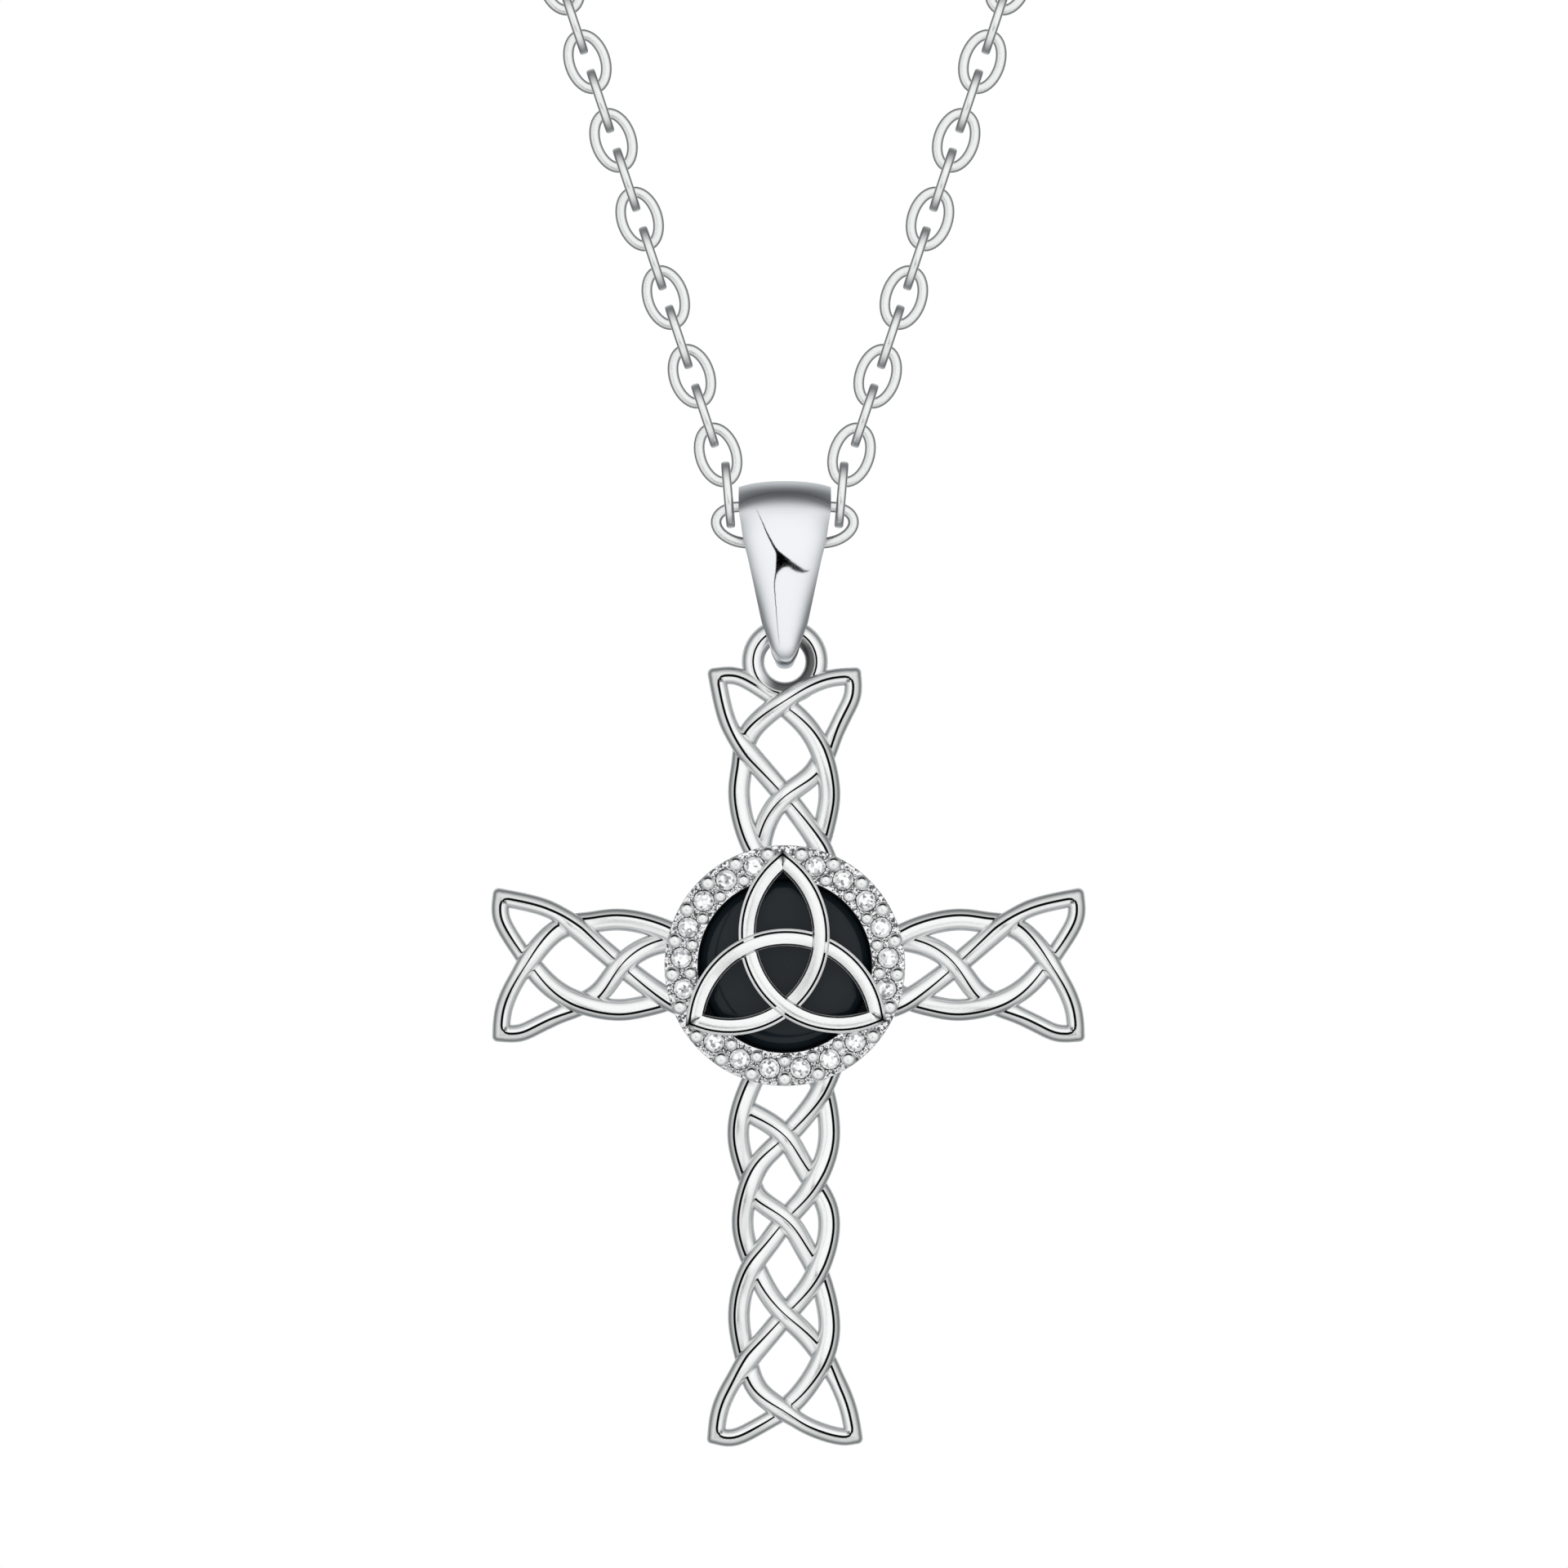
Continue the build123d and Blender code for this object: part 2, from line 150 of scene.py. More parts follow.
# Painted shade inside the ring, darkest at the lower right; it fades in round the ring by the cosine
# from there, and across the wire by the share of its radius
RING_SHADE = 0.84
RING_SHADE_TURN = math.radians(-40)
RING_SHADE_SIDE = (-0.5, 0.4)
RING_SHADE_EDGE = (0.05, 0.25)

# Chain
LINK_PITCH = 1.40
LINK_WIRE = 0.37
LINK_WIDTH = 1.57
LINK_PLAY = 0.12
# From a link's middle to the middle of the wire at its end
LINK_END = (LINK_PITCH + LINK_PLAY + LINK_WIRE) / 2
# The wire is rolled flatter than it is wide, with nearly flat faces
LINK_THICKNESS = 0.31
LINK_FLATNESS = 0.62
# Painted grey shade on a link's faces, and darker painted shade on the corners of its wire
LINK_FACE_SHADE = 0.05
LINK_CORNER_SHADE = 0.50
LINK_CORNER_RANGE = (0.55, 0.95)
# Points round the wire and round the link, near the bail and in the rest of the chain
NEAR_LINK_STEPS = (20, 40)
FAR_LINK_STEPS = (12, 20)
LINKS_EACH_SIDE = 16
CROWN_LINK_LEAN = 10.0
EDGE_LINK_LEAN = 85.0
STRAND_LEAN = 71.6
CLASP_LOOP_WIRE = 0.40

# Photograph: width of its frame at the cross, and where the cross's middle falls in it
PHOTO_PIXELS = 1920
PHOTO_WIDTH = 52.97
CROSS_PIXEL = (961, 1182)
CAMERA_DISTANCE = 600.0
SENSOR_WIDTH = 36


# Materials, and the settings that several of their nodes have
MULTIPLY = {"operation": "MULTIPLY"}
MAXIMUM = {"operation": "MAXIMUM"}
DISTANCE = {"operation": "DISTANCE"}
RGBA = {"data_type": "RGBA"}
SMOOTH = {"interpolation_type": "SMOOTHSTEP"}


def linear(colour):
    """Linear red, green and blue of an sRGB hex colour, and full alpha."""
    parts = [int(colour[i:i + 2], 16) / 255 for i in (1, 3, 5)]
    curve = [part / 12.92 if part <= 0.04045 else ((part + 0.055) / 1.055) ** 2.4 for part in parts]
    return [*curve, 1]


def feed(material, node, **inputs):
    """Sets or links inputs, each named as its socket is, or n and the socket's number.

    A node given as an input is linked by the first output that it uses.
    """
    for name, value in inputs.items():
        numbered = name[0] == "n" and name[1:].isdigit()
        socket = node.inputs[int(name[1:]) if numbered else name.replace("_", " ")]
        if isinstance(value, bpy.types.Node):
            value = next(output for output in value.outputs if output.enabled)
        if isinstance(value, bpy.types.NodeSocket):
            material.node_tree.links.new(value, socket)
        else:
            socket.default_value = value


def add_node(material, kind, settings=None, **inputs):
    """Adds a node: settings are its own values, inputs are values, nodes or their outputs."""
    node = material.node_tree.nodes.new(kind)
    for name, value in (settings or {}).items():
        setattr(node, name, value)
    feed(material, node, **inputs)
    return node


def new_material(name):
    """An empty node material and its principled shader."""
    material = bpy.data.materials.new(name)
    material.use_nodes = True
    return material, material.node_tree.nodes["Principled BSDF"]


def polished_silver(name, roughest, tone="#f3f4f4"):
    """Cast 925 silver, tumbled and hand polished, with painted black in its grooves.

    The high spots mirror the room a little softly; a point attribute paints the grooves near black, as
    painted dark reflection lines, and other places grey, as painted shade.
    """
    material, shader = new_material(name)
    # Painted shade and painted dark reflection lines, held per point: 0 is bare silver, 1 is near black
    # and rougher
    painted_shade = add_node(material, "ShaderNodeAttribute", {"attribute_name": "painted_shade"})
    # Casting skin that the polish hasn't quite levelled: swells about 0.6 mm apart
    place = add_node(material, "ShaderNodeTexCoord")
    swell = add_node(
        material, "ShaderNodeTexNoise", Vector=place.outputs["Object"], Scale=1 / (0.6 * MM), Detail=2.0
    )
    # Fine polishing marks, drawn at 0.08 mm so that they show
    marks = add_node(
        material, "ShaderNodeTexNoise", Vector=place.outputs["Object"], Scale=1 / (0.08 * MM), Detail=1.0
    )
    silver_rough = add_node(
        material, "ShaderNodeMapRange", Value=marks, To_Min=roughest * 0.6, To_Max=roughest
    )
    rough = add_node(
        material, "ShaderNodeMix", {"data_type": "FLOAT"},
        n0=painted_shade.outputs["Fac"], n2=silver_rough, n3=0.5,
    )
    colour = add_node(
        material, "ShaderNodeMix", RGBA, n0=painted_shade.outputs["Fac"], n6=linear(tone), n7=linear("#08090b")
    )
    relief = add_node(material, "ShaderNodeBump", Height=swell, Strength=0.04, Distance=0.05 * MM)
    feed(material, shader, Base_Color=colour, Metallic=1.0, Roughness=rough, Normal=relief)
    return material


def pave_silver():
    """The setting's cast band: polished outside, and cut and picked dark between the stones."""
    material, shader = new_material("pave_silver")
    place = add_node(material, "ShaderNodeTexCoord")
    parts = add_node(material, "ShaderNodeSeparateXYZ", Vector=place.outputs["Object"])
    # The graver's bright cuts and dark pits, about 0.08 mm across
    pits = add_node(
        material, "ShaderNodeTexNoise", Vector=place.outputs["Object"], Scale=1 / (0.08 * MM), Detail=1.0
    )
    dark = add_node(
        material, "ShaderNodeMapRange", Value=pits, From_Min=0.48, From_Max=0.60, To_Min=0.0, To_Max=0.9
    )
    # Only the front face is cut
    front_y = CROSS[1] - HALO_FRONT
    cut = add_node(
        material, "ShaderNodeMapRange", Value=parts.outputs["Y"],
        From_Min=(front_y + 0.06) * MM, From_Max=(front_y + 0.01) * MM,
    )
    share = add_node(material, "ShaderNodeMath", MULTIPLY, n0=dark, n1=cut)
    # Painted shadow inside the band, round the disc, and in the three corners of the knot
    flat = add_node(
        material, "ShaderNodeVectorMath", MULTIPLY, n0=place.outputs["Object"], n1=(1, 0, 1)
    )
    middle = (CROSS[0] * MM, 0, CROSS[2] * MM)
    radius = add_node(material, "ShaderNodeVectorMath", DISTANCE, n0=flat, n1=middle)
    inside = add_node(
        material, "ShaderNodeMapRange", Value=radius,
        From_Min=(HALO_INNER_R + 0.045) * MM, From_Max=(HALO_INNER_R + 0.015) * MM,
    )
    upper = add_node(
        material, "ShaderNodeMath", {"operation": "LESS_THAN"},
        n0=parts.outputs["Y"], n1=(CROSS[1] - LEDGE_FRONT + 0.03) * MM,
    )
    black = add_node(material, "ShaderNodeMath", MULTIPLY, n0=inside, n1=upper)
    # Painted shadow in the nook at each corner of the knot, on the front face only
    for corner in range(3):
        turn = math.radians(90 + KNOT_TURN + 120 * corner)
        nook_x = middle[0] + KNOT_CORNER_R * MM * math.cos(turn)
        nook_z = middle[2] + KNOT_CORNER_R * MM * math.sin(turn)
        away = add_node(material, "ShaderNodeVectorMath", DISTANCE, n0=flat, n1=(nook_x, 0, nook_z))
        nook_shadow = add_node(
            material, "ShaderNodeMapRange", Value=away, From_Min=0.30 * MM, From_Max=0.24 * MM
        )
        nook_shadow_front = add_node(material, "ShaderNodeMath", MULTIPLY, n0=nook_shadow, n1=cut)
        black = add_node(material, "ShaderNodeMath", MAXIMUM, n0=black, n1=nook_shadow_front)
    tone = add_node(material, "ShaderNodeMath", MAXIMUM, n0=share, n1=black)
    colour = add_node(
        material, "ShaderNodeMix", RGBA, n0=tone, n6=linear("#f4f4f6"), n7=linear("#0c0e10")
    )
    relief = add_node(material, "ShaderNodeBump", Height=share, Strength=0.4, Distance=-0.05 * MM)
    feed(material, shader, Base_Color=colour, Metallic=1.0, Roughness=0.22, Normal=relief)
    return material


def black_onyx():
    """Black onyx, lapped and polished: near black with a hard glassy gloss."""
    material, shader = new_material("black_onyx")
    place = add_node(material, "ShaderNodeTexCoord")
    # Faint bands of the stone, about 1.5 mm apart
    bands = add_node(
        material, "ShaderNodeTexNoise", Vector=place.outputs["Object"], Scale=1 / (1.5 * MM), Detail=3.0
    )
    colour = add_node(
        material, "ShaderNodeMix", RGBA, n0=bands, n6=linear("#182127"), n7=linear("#232c33")
    )
    feed(material, shader, Base_Color=colour, Roughness=0.10, IOR=1.54, Specular_IOR_Level=0.16)
    return material


def clear_zirconia():
    """Brilliant-cut cubic zirconia: colourless, very high sparkle, sharp facets.

    Its colour is a painted patchwork of white highlights and dark marks, one tone per facet, standing in
    for the light that the pavilion's facets send back.
    """
    material, shader = new_material("clear_zirconia")
    place = add_node(material, "ShaderNodeTexCoord")
    # Facets as they are seen through the table, about 0.09 mm across
    facets = add_node(
        material, "ShaderNodeTexVoronoi", Vector=place.outputs["Object"], Scale=1 / (0.09 * MM)
    )
    # Painted highlight or painted dark mark: each facet gets its own tone from a random value
    painted_flash = add_node(material, "ShaderNodeTexWhiteNoise", Vector=facets.outputs["Color"])
    share = add_node(
        material, "ShaderNodeMapRange", Value=painted_flash,
        From_Min=0.02, From_Max=0.46, To_Min=0.0, To_Max=1.0,
    )
    colour = add_node(
        material, "ShaderNodeMix", RGBA, n0=share, n6=linear("#74787e"), n7=linear("#ffffff")
    )
    # Total internal reflection sends the light back as a mirror does
    feed(material, shader, Base_Color=colour, Metallic=0.55, Roughness=0.04, IOR=2.15)
    return material


SILVER = polished_silver("polished_silver", 0.30)
# The bead prongs are burnished with a cupped tool
BURNISHED_SILVER = polished_silver("burnished_silver", 0.34)
# The bail's plain faces are buffed to a mirror, and its silver is given a darker tone than the rest:
# painted shade over the whole bail
MIRROR_SILVER = polished_silver("mirror_polished_silver", 0.07, "#e9ebee")
PAVE_SILVER = pave_silver()
ONYX = black_onyx()
ZIRCONIA = clear_zirconia()


# Meshes
class Build:
    """Points in millimetres and faces of one piece, gathered part by part."""

    def __init__(self):
        self.points, self.faces, self.painted_shade = [], [], []

    def grid(self, rings, painted_shade=None, closed_path=False):
        """A skin over rings of equal length, laid one after another, closed or with two caps."""
        rings = np.asarray(rings)
        count, size = rings.shape[:2]
        first = len(self.points)
        self.points.extend(rings.reshape(-1, 3))
        self.painted_shade.extend(np.zeros(count * size) if painted_shade is None else np.asarray(painted_shade).ravel())
        for i in range(count if closed_path else count - 1):
            here = first + i * size
            there = first + (i + 1) % count * size
            for j in range(size):
                k = (j + 1) % size
                self.faces.append((here + j, here + k, there + k, there + j))
        if not closed_path:
            self.faces.append(tuple(first + j for j in reversed(range(size))))
            self.faces.append(tuple(first + (count - 1) * size + j for j in range(size)))

    def piece(self, name, body, material, slot, smooth=True):
        """The mesh piece, riding on its body."""
        mesh = bpy.data.meshes.new(name)
        mesh.from_pydata([tuple(point) for point in np.asarray(self.points) * MM], [], self.faces)
        # Painted shade of every point, read by the silver materials as a point attribute
        layer = mesh.attributes.new("painted_shade", "FLOAT", "POINT")
        layer.data.foreach_set("value", np.asarray(self.painted_shade, np.float32))
        mesh.materials.append(material)
        mesh.validate()
        piece = bpy.data.objects.new(name, mesh)
        bpy.context.scene.collection.objects.link(piece)
        if smooth:
            mesh.shade_smooth()
        skin = bmesh.new()
        skin.from_mesh(mesh)
        bmesh.ops.recalc_face_normals(skin, faces=skin.faces)
        skin.to_mesh(mesh)
        skin.free()
        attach(piece, body)
        return piece


def unit(vector):
    """The vector's direction, with a length of 1."""
    return vector / np.linalg.norm(vector)


def even_turns(count):
    """Turns of places spaced evenly round a circle."""
    return np.linspace(0, 2 * math.pi, count, endpoint=False)


def out_at(turn):
    """Directions in the plane of the arms, at one turn or many from the right."""
    return np.stack([np.cos(turn), 0 * turn, np.sin(turn)], -1)


def run_along(points):
    """Distance walked along a row of points, up to each of them."""
    return np.concatenate([[0], np.cumsum(np.linalg.norm(np.diff(points, axis=0), axis=1))])


def gain_along(places, slopes):
    """Height gained along a row of places, up to each of them, by the slopes there."""
    return np.concatenate([[0], np.cumsum((slopes[1:] + slopes[:-1]) / 2 * np.diff(places))])


def smooth_curve(points, count):
    """A cubic spline through the points, stepped by the square roots of their gaps."""
    points = np.array(points, float)
    gaps = np.sqrt(np.linalg.norm(np.diff(points[:, :2], axis=0), axis=1))
    knots = np.concatenate([[0], np.cumsum(gaps)])
    last = len(points) - 1
    system = np.eye(last + 1)
    right = np.zeros_like(points)
    for i in range(1, last):
        system[i, i - 1:i + 2] = gaps[i - 1], 2 * (gaps[i - 1] + gaps[i]), gaps[i]
        right[i] = 6 * (
            (points[i + 1] - points[i]) / gaps[i] - (points[i] - points[i - 1]) / gaps[i - 1]
        )
    bend = np.linalg.solve(system, right)
    where = np.linspace(0, knots[-1], count)
    i = np.clip(np.searchsorted(knots, where) - 1, 0, last - 1)
    gap = gaps[i][:, None]
    before = (where - knots[i])[:, None]
    after = (knots[i + 1] - where)[:, None]
    return (
        (bend[i] * after**3 + bend[i + 1] * before**3) / (6 * gap)
        + (points[i] / gap - bend[i] * gap / 6) * after
        + (points[i + 1] / gap - bend[i + 1] * gap / 6) * before
    )


def ease(value, low, high):
    """0 below low, 1 above high, and a soft step between."""
    share = np.clip((value - low) / (high - low), 0, 1)
    return share * share * (3 - 2 * share)


def turn_corners(centre, heading, corners):
    """Sideways directions of a band's sections, and their stretch at its sharp corners."""
    side = np.cross(heading, FRONT)
    stretch = np.ones(len(centre))
    for corner in corners:
        mean = unit(side[corner - 1] + side[corner + 1])
        stretch[corner] = 1 / float(mean @ side[corner - 1])
        side[corner] = mean
    return side, stretch


def hold_mitre(rings, centre, heading, corner, reach, slide=False):
    """Keeps the sections on either side of a corner from crossing its mitre.

    Points past the mitre go straight back to it, or slide back along their own strand.
    """
    across = unit(heading[corner - 1] + heading[corner + 1])
    for step in range(-reach, reach + 1):
        i = (corner + step) % len(rings)
        over = (rings[i] - centre[corner]) @ across
        if step:
            over = np.maximum(over, 0) if step < 0 else np.minimum(over, 0)
        way = heading[i] / float(heading[i] @ across) if slide and step else across
        rings[i] -= over[:, None] * way


# Strands of the arms, the same as the solids': along and across in per cent of the arm, and the
# level, from -1 under to 1 over
SHORT_STRANDS = {
    "first": [
        (100, -98.8, 0), (75.5, -83.1, 0.5), (61.2, -59.3, 1),
        (35.1, 0.1, -1), (9.2, 49.6, 1), (0, 60.7, 1),
    ],
    "second": [
        (100, 98.8, 0), (97.9, 57.1, 0.3), (85.4, -5.1, 1), (70.8, -48.8, 0),
        (61.2, -59.3, -1), (51.3, -62.5, -0.6), (37.2, -66.7, 0), (15.9, -56, 0.6),
        (0, -36.9, 1),
    ],
    "third": [
        (100, -98.8, 0), (100.3, -73.6, -0.2), (96.2, -47.4, -0.5), (85.4, -5.1, -1),
        (71.8, 33.7, 0), (56, 55.6, 1), (37.2, 65, 0.4), (24, 60.7, -0.4),
        (9.2, 49.6, -1), (0, 36.9, -1),
    ],
    "fourth": [
        (100, 98.8, 0), (90.2, 98.7, -0.2), (79.4, 86.2, -0.5), (56, 55.6, -1),
        (45.1, 34.8, 0), (35.1, 0.1, 1), (22.7, -24.2, 0.3), (11.5, -33.9, -0.6),
        (0, -39.3, -1),
    ],
}
LONG_STRANDS = {
    "first": [
        (100, -100, 0), (100.5, -76, -0.3), (97.9, -42.5, -0.7), (93.3, -1.7, -1),
        (87.3, 30.1, 0), (79.1, 55.8, 1), (69.6, 64.8, 0), (56.4, 47, -1),
        (49.5, 27.3, 0), (42.6, 1.7, 1), (37.2, -36.9, 0), (32.8, -50.1, -1),
        (23.7, -65.7, 0), (15, -65.2, 1), (6.4, -48.8, 0.5), (0, -32.1, 0),
    ],
    "second": [
        (100, -100, 0), (91.5, -91.4, 0.5), (80.3, -55.5, 1), (74, -27, 0),
        (67.9, 1.2, -1), (61.7, 29.8, 0), (56.4, 47, 1), (48.4, 62, 0.3),
        (39.8, 61.9, -0.4), (33, 42.5, -1), (26.1, 19.8, 0), (20.6, 1.2, 1),
        (16.3, -28.6, 0), (13.2, -61.9, -1),
    ],
    "third": [
        (100, 100, 0), (91.1, 89.2, -0.3), (79.1, 55.8, -1), (72.3, 26.2, 0),
        (67.9, 1.2, 1), (62.3, -23.6, 0), (54.3, -45.7, -1), (44, -61.5, 0),
        (32.8, -50.1, 1), (26.8, -32.9, 0), (20.6, 1.2, -1), (13.1, 36.7, 0),
        (7.8, 54.6, 1), (0.7, 71.4, 1),
    ],
    "fourth": [
        (100, 100, 0), (100.2, 82.3, 0.2), (97.4, 34, 0.7), (93.3, -1.7, 1),
        (88, -38.2, 0.2), (80.3, -55.5, -1), (70.1, -66.5, 0), (61.4, -61.9, 0.6),
        (54.3, -45.7, 1), (49, -24.4, 0), (42.6, 1.7, -1), (37.7, 25, 0),
        (33, 42.5, 1), (24.5, 61.7, 0.3), (15.9, 63.8, -0.4), (7.8, 54.6, -1),
        (0.7, 39.3, -1),
    ],
}
SHORT_PAIRS = (("first", "third"), ("second", "fourth"))
LONG_PAIRS = (("first", "second"), ("third", "fourth"))
BAND_R = (HALO_OUTER_R + HALO_INNER_R) / 2
ARMS = [
    {"along": (-1, 0, 0), "across": (0, 0, -1), "start": -0.15, "reach": 9.58,
     "strands": SHORT_STRANDS, "pairs": SHORT_PAIRS},
    {"along": (1, 0, 0), "across": (0, 0, -1), "start": 0.10, "reach": 9.83,
     "strands": SHORT_STRANDS, "pairs": SHORT_PAIRS},
    {"along": (0, 0, 1), "across": (1, 0, 0), "start": 0.03, "reach": 9.76,
     "strands": SHORT_STRANDS, "pairs": SHORT_PAIRS},
    {"along": (0, 0, -1), "across": (1, 0, 0), "start": -0.32, "reach": 15.89,
     "strands": LONG_STRANDS, "pairs": LONG_PAIRS},
]

# Section of a strand: places across it, as shares of its half width, between the edges and
# the groove, in the groove, and round the back
EDGE_TO_LINE = np.sin(np.linspace(0, 1, 9) * math.pi / 2)
IN_LINE = np.array([-1.0, -0.55, 0.0, 0.55, 1.0])
LINE_DEPTHS = np.array([0.0, 0.7, 1.0, 0.7, 0.0])
# The groove is painted black: a painted dark reflection line along the strand
LINE_SHADE = np.array([0.0, 1.0, 1.0, 1.0, 0.0])
BACK_TURNS = np.linspace(0, math.pi, 11)[1:-1]
DOME = 2.25
SAMPLES_PER_MM = 8
CURVE_STEPS = 1200
# Points nearer than this, in metres, are the same point
SAME_POINT = 1e-8


def strand_section(line, line_half, depth_share):
    """Places across and heights of a section, in half widths and half depths, and its painted shade."""
    left = -1 + EDGE_TO_LINE * (line - line_half + 1)
    right = 1 - EDGE_TO_LINE[::-1] * (1 - line - line_half)
    front = np.concatenate([left[:-1], line + IN_LINE * line_half, right[1:]])
    height = np.maximum(0, 1 - np.abs(front) ** DOME) ** (1 / DOME)
    groove = slice(len(left) - 1, len(left) - 1 + len(IN_LINE))
    height[groove] -= LINE_DEPTHS * depth_share
    painted_shade = np.zeros(len(front) + len(BACK_TURNS))
    painted_shade[groove] = LINE_SHADE
    across = np.concatenate([front, np.cos(BACK_TURNS)])
    return across, np.concatenate([height, -np.sin(BACK_TURNS)]), painted_shade


def round_tip(ring, middle, sides, half, turned):
    """Copies of a corner's section, fanned round the outer side of the corner."""
    before, mean, after = sides
    spread = math.acos(float(before @ mean))
    beside = unit(after - mean * float(after @ mean))
    # The round touches both outer edges and ends where the corner is cut off
    out = (TIP_CORNER - half) / (1 - math.cos(spread))
    radius = TIP_CORNER - out
    touch = math.atan2(radius * math.sin(spread), out + radius * math.cos(spread))
    across = (ring - middle) @ mean
    share = np.clip(turned * across, 0, None)
    share /= share.max()
    # Points on the inner side of the corner stay where they are
    inner = turned * np.minimum(turned * across, 0)
    still = ring - across[:, None] * mean + inner[:, None] * mean
    fan = []
    for turn in np.linspace(-spread, spread, TIP_STEPS):
        way = turned * (math.cos(turn) * mean + math.sin(turn) * beside)
        if abs(turn) > touch:
            reach = half / math.cos(spread - abs(turn))
        else:
            reach = out * math.cos(turn) + math.sqrt(radius**2 - (out * math.sin(turn))**2)
        fan.append(still + (share * reach)[:, None] * way)
    return np.array(fan)


def strand_curve(strand, start, reach):
    """Even places along a strand: along the arm, across it and forward."""
    rows = [
        (start + reach * out / 100, ARM_HALF_WIDTH * wide / 100, STRAND_LIFT * level)
        for out, wide, level in strand
    ]
    fine = smooth_curve(rows, CURVE_STEPS)
    run = run_along(fine)
    even = np.linspace(0, run[-1], int(run_along(rows)[-1] * SAMPLES_PER_MM))
    return np.stack([np.interp(even, run, fine[:, k]) for k in range(3)], 1)


def add_pair(work, arm, one, two):
    """Two strands of an arm that meet in a mitred corner at its tip."""
    along, across = np.array(arm["along"], float), np.array(arm["across"], float)
    rows = np.concatenate([one[::-1], two[1:]])
    corner = len(one) - 1
    centre = CROSS + rows[:, :1] * along + rows[:, 1:2] * across + rows[:, 2:] * FRONT
    heading = np.gradient(centre, axis=0)
    heading[corner - 1] = centre[corner] - centre[corner - 1]
    heading[corner + 1] = centre[corner + 1] - centre[corner]
    heading[:, 1] = 0
    heading /= np.linalg.norm(heading, axis=1)[:, None]
    side, stretch = turn_corners(centre, heading, [corner])
    run = run_along(centre)
    from_tip = np.abs(run - run[corner])
    half = (TIP_WIDTH + (BOW_WIDTH - TIP_WIDTH) * ease(from_tip, *WIDTH_RUN)) / 2
    # The painted black line keeps to the outer side of each bow and crosses over between bows
    bow = np.clip(rows[:, 1] / BOW_SIDE, -1, 1)
    outward = bow * (side @ across)
    line = LINE_OFFSET * outward * ease(from_tip, *LINE_RUN)
    line_half = LINE_WIDTH / 2 * (0.5 + 0.5 * np.abs(bow))
    # The corner's outer side: the line bends away from it, and the flank's painted grey shade lies on it
    turned = float(np.sign(np.cross(heading[corner - 1], heading[corner + 1]) @ FRONT))
    near_tip = np.clip(1 - from_tip / TIP_LINE_RUN, 0, 1) ** 2
    line = line - turned * TIP_LINE_CUT * near_tip
    by_tip = 1 - ease(from_tip, *FLANK_RUN)
    flank = outward * (1 - by_tip) + turned * by_tip
    rings, painted_shades = [], []
    for i in range(len(centre)):
        depth = LINE_DEPTH * (1 - TIP_LINE_RISE * near_tip[i])
        shares, heights, painted_shade = strand_section(
            line[i] / half[i], line_half[i] / half[i], depth / (STRAND_DEPTH / 2)
        )
        # Painted grey shade on the flank past the line, on the front half of the section
        past_line = np.sign(flank[i]) * (shares - line[i] / half[i]) > 0
        painted_shades.append(np.maximum(painted_shade, FLANK_SHADE * abs(flank[i]) * past_line * (heights > 0)))
        wide = shares * half[i] * stretch[i]
        high = heights * STRAND_DEPTH / 2
        rings.append(centre[i] + wide[:, None] * side[i] + high[:, None] * FRONT)
    rings = np.array(rings)
    hold_mitre(rings, centre, heading, corner, TIP_MITRE_REACH, slide=True)
    corner_sides = side[corner - 1:corner + 2]
    fan = round_tip(rings[corner], centre[corner], corner_sides, half[corner], turned)
    rings = np.concatenate([rings[:corner], fan, rings[corner + 1:]])
    painted_shades[corner:corner + 1] = [painted_shades[corner]] * len(fan)
    work.grid(rings, painted_shades)


def build_knotwork():
    """The four arms of interlaced strands."""
    work = Build()
    for arm in ARMS:
        start = BAND_R + arm["start"]
        for pair in arm["pairs"]:
            one, two = (
                strand_curve(arm["strands"][name], start, arm["reach"] - start) for name in pair
            )
            add_pair(work, arm, one, two)
    piece = work.piece("knotwork", "cross", SILVER, "silver")
    # The fans' sections share their inner points
    joined = bmesh.new()
    joined.from_mesh(piece.data)
    bmesh.ops.remove_doubles(joined, verts=joined.verts, dist=SAME_POINT)
    joined.to_mesh(piece.data)
    joined.free()
    return piece


# Steps round the setting and the disc
ROUND_STEPS = 192


def lathe(work, profile):
    """Turns a closed profile of radius and forward distance about the cross's middle."""
    profile = np.array(profile)
    work.grid(
        [
            CROSS + profile[:, :1] * out + profile[:, 1:] * FRONT
            for out in out_at(even_turns(ROUND_STEPS))
        ],
        closed_path=True,
    )


STONE_STEP = 360 / STONE_PLACES
OPEN_PLACES = [place for place in range(STONE_PLACES) if place % (STONE_PLACES // 3)]
RIM_ROUND = 0.07
INNER_ROUND = 0.03
# A seat's upright wall starts and ends at these depths, and flares out past the band's front
SEAT_WALL = 0.12
SEAT_LIP = 0.015
SEAT_PAST = 0.05
SEAT_STEPS = 24


def ring_place(place, radius, forward):
    """A place round the setting, counted clockwise from the top."""
    return CROSS + radius * out_at(math.radians(90 - place * STONE_STEP)) + forward * FRONT


